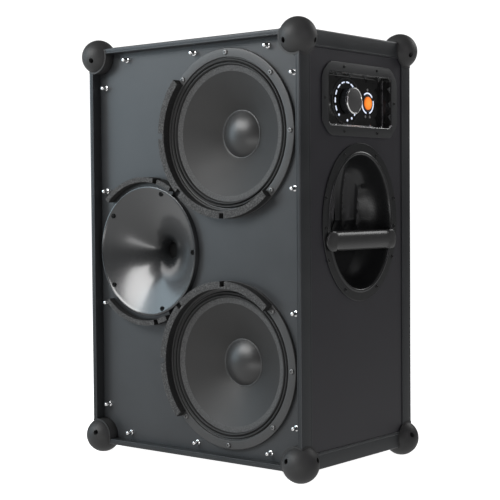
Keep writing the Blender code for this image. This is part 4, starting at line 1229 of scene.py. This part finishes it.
# %% [markdown]
# # Floor, light and camera
#
# A dark object on a white ground is lit mostly by what it reflects. A soft light high at the front gives the
# bell its bright lobe and the baffle its sheen, and a large cool one at the left fills the bell's lower part.
# A weak one at the right keeps the side panel readable but darker. One behind and a faint one overhead draw
# the upper edges, and a strip near the ground glows on the lower faces of the balls and of the grip. The
# floor looks white but sends no light back, so the cabinet's dark finishes stay dark. A floor that did
# reflect is the simpler choice, but it washes out the lower half.

# %% Floor and surroundings
floor = bmesh.new()
bmesh.ops.create_circle(floor, cap_ends=True, segments=96, radius=40)
floor_data = bpy.data.meshes.new("studio_floor")
floor.to_mesh(floor_data)
floor.free()
floor_object = bpy.data.objects.new("studio_floor", floor_data)
bpy.context.scene.collection.objects.link(floor_object)
FLOOR_FINISH = finish("studio_floor", grey(0.86), grey(0.88), (0.9, 0.95), 3, 0.0, wide=0.5)
shader = FLOOR_FINISH.node_tree.nodes["Principled BSDF"]
shader.inputs["Specular IOR Level"].default_value = 0.0
shader.inputs["Emission Color"].default_value = (1, 1, 1, 1)
shader.inputs["Emission Strength"].default_value = 1.0
floor_data.materials.append(FLOOR_FINISH)
floor_object.location.z = cad_low.z - 0.0002
floor_object.visible_diffuse = floor_object.visible_glossy = floor_object.visible_shadow = False

world = bpy.data.worlds.new("studio")
bpy.context.scene.world = world
world.use_nodes = True
nodes, links = world.node_tree.nodes, world.node_tree.links
background = nodes["Background"]
background.inputs["Color"].default_value = (1, 1, 1, 1)
seen = nodes.new("ShaderNodeLightPath")
direction = nodes.new("ShaderNodeTexCoord")
split = nodes.new("ShaderNodeSeparateXYZ")
links.new(direction.outputs["Generated"], split.inputs[0])
both = nodes.new("ShaderNodeMath")
for socket, axis, ends in ((0, "X", (-1.0, 1.0, 0.24, 0.06)), (1, "Z", (-0.20, -0.03, 0.55, 0.0))):
    fall = nodes.new("ShaderNodeMapRange")  # bright on the left and from the ground, dim on the right
    for name, value in zip(("From Min", "From Max", "To Min", "To Max"), ends):
        fall.inputs[name].default_value = value
    links.new(split.outputs[axis], fall.inputs["Value"])
    links.new(fall.outputs["Result"], both.inputs[socket])
strength = nodes.new("ShaderNodeMix")
strength.inputs[3].default_value = 1.15  # behind the object
links.new(seen.outputs["Is Camera Ray"], strength.inputs[0])
links.new(both.outputs[0], strength.inputs[2])
links.new(strength.outputs[0], background.inputs["Strength"])
print("floor at", round(floor_object.location.z, 4))


# %% Lights
def soft_light(name, place, size, power, tint=(1, 1, 1), target=(0, 0, 0.33)):
    """A square soft light that looks at a target."""
    light = bpy.data.lights.new(name, "AREA")
    light.shape, light.size, light.size_y = "RECTANGLE", size[0], size[1]
    light.energy, light.color = power, tint
    made = bpy.data.objects.new(name, light)
    made.location = place
    made.rotation_euler = (Vector(target) - Vector(place)).to_track_quat("-Z", "Y").to_euler()
    made.visible_camera = False
    bpy.context.scene.collection.objects.link(made)
    return made


soft_light("key_front", (-0.64, -1.75, 1.50), (1.6, 0.85), 36)
soft_light("soft_left", (-1.95, -1.35, 0.95), (1.5, 1.7), 18, (0.70, 0.88, 1.0))
soft_light("fill_right", (2.3, -0.5, 1.0), (0.7, 0.9), 6.5, (0.97, 0.92, 1.0))
soft_light("rear_high", (0.60, 2.15, 1.60), (1.6, 0.8), 15)
soft_light("floor_glow", (0.66, -1.47, -0.14), (1.4, 0.25), 3.5)
soft_light("overhead", (0.9, -0.2, 2.3), (0.8, 1.2), 2)
bpy.context.scene.view_settings.view_transform = "Standard"

# %% Camera
eye = Vector((1.3078, -1.5999, 0.4045))
yaw, pitch, roll = radians(39.231), radians(-2.15), radians(-0.463)
gaze = Vector((-sin(yaw) * cos(pitch), cos(yaw) * cos(pitch), sin(pitch)))
level_right = Vector((cos(yaw), sin(yaw), 0))
level_up = level_right.cross(gaze)
right = cos(roll) * level_right + sin(roll) * level_up
up = -sin(roll) * level_right + cos(roll) * level_up
camera_data = bpy.data.cameras.new("camera")
camera_data.sensor_width, camera_data.lens = 36, 92.6
camera = bpy.data.objects.new("camera", camera_data)
camera.matrix_world = Matrix.Translation(eye) @ Matrix((right, up, -gaze)).transposed().to_4x4()
bpy.context.scene.collection.objects.link(camera)
bpy.context.scene.camera = camera
print("camera", round((eye - box_middle).length, 2), "m from the cabinet")
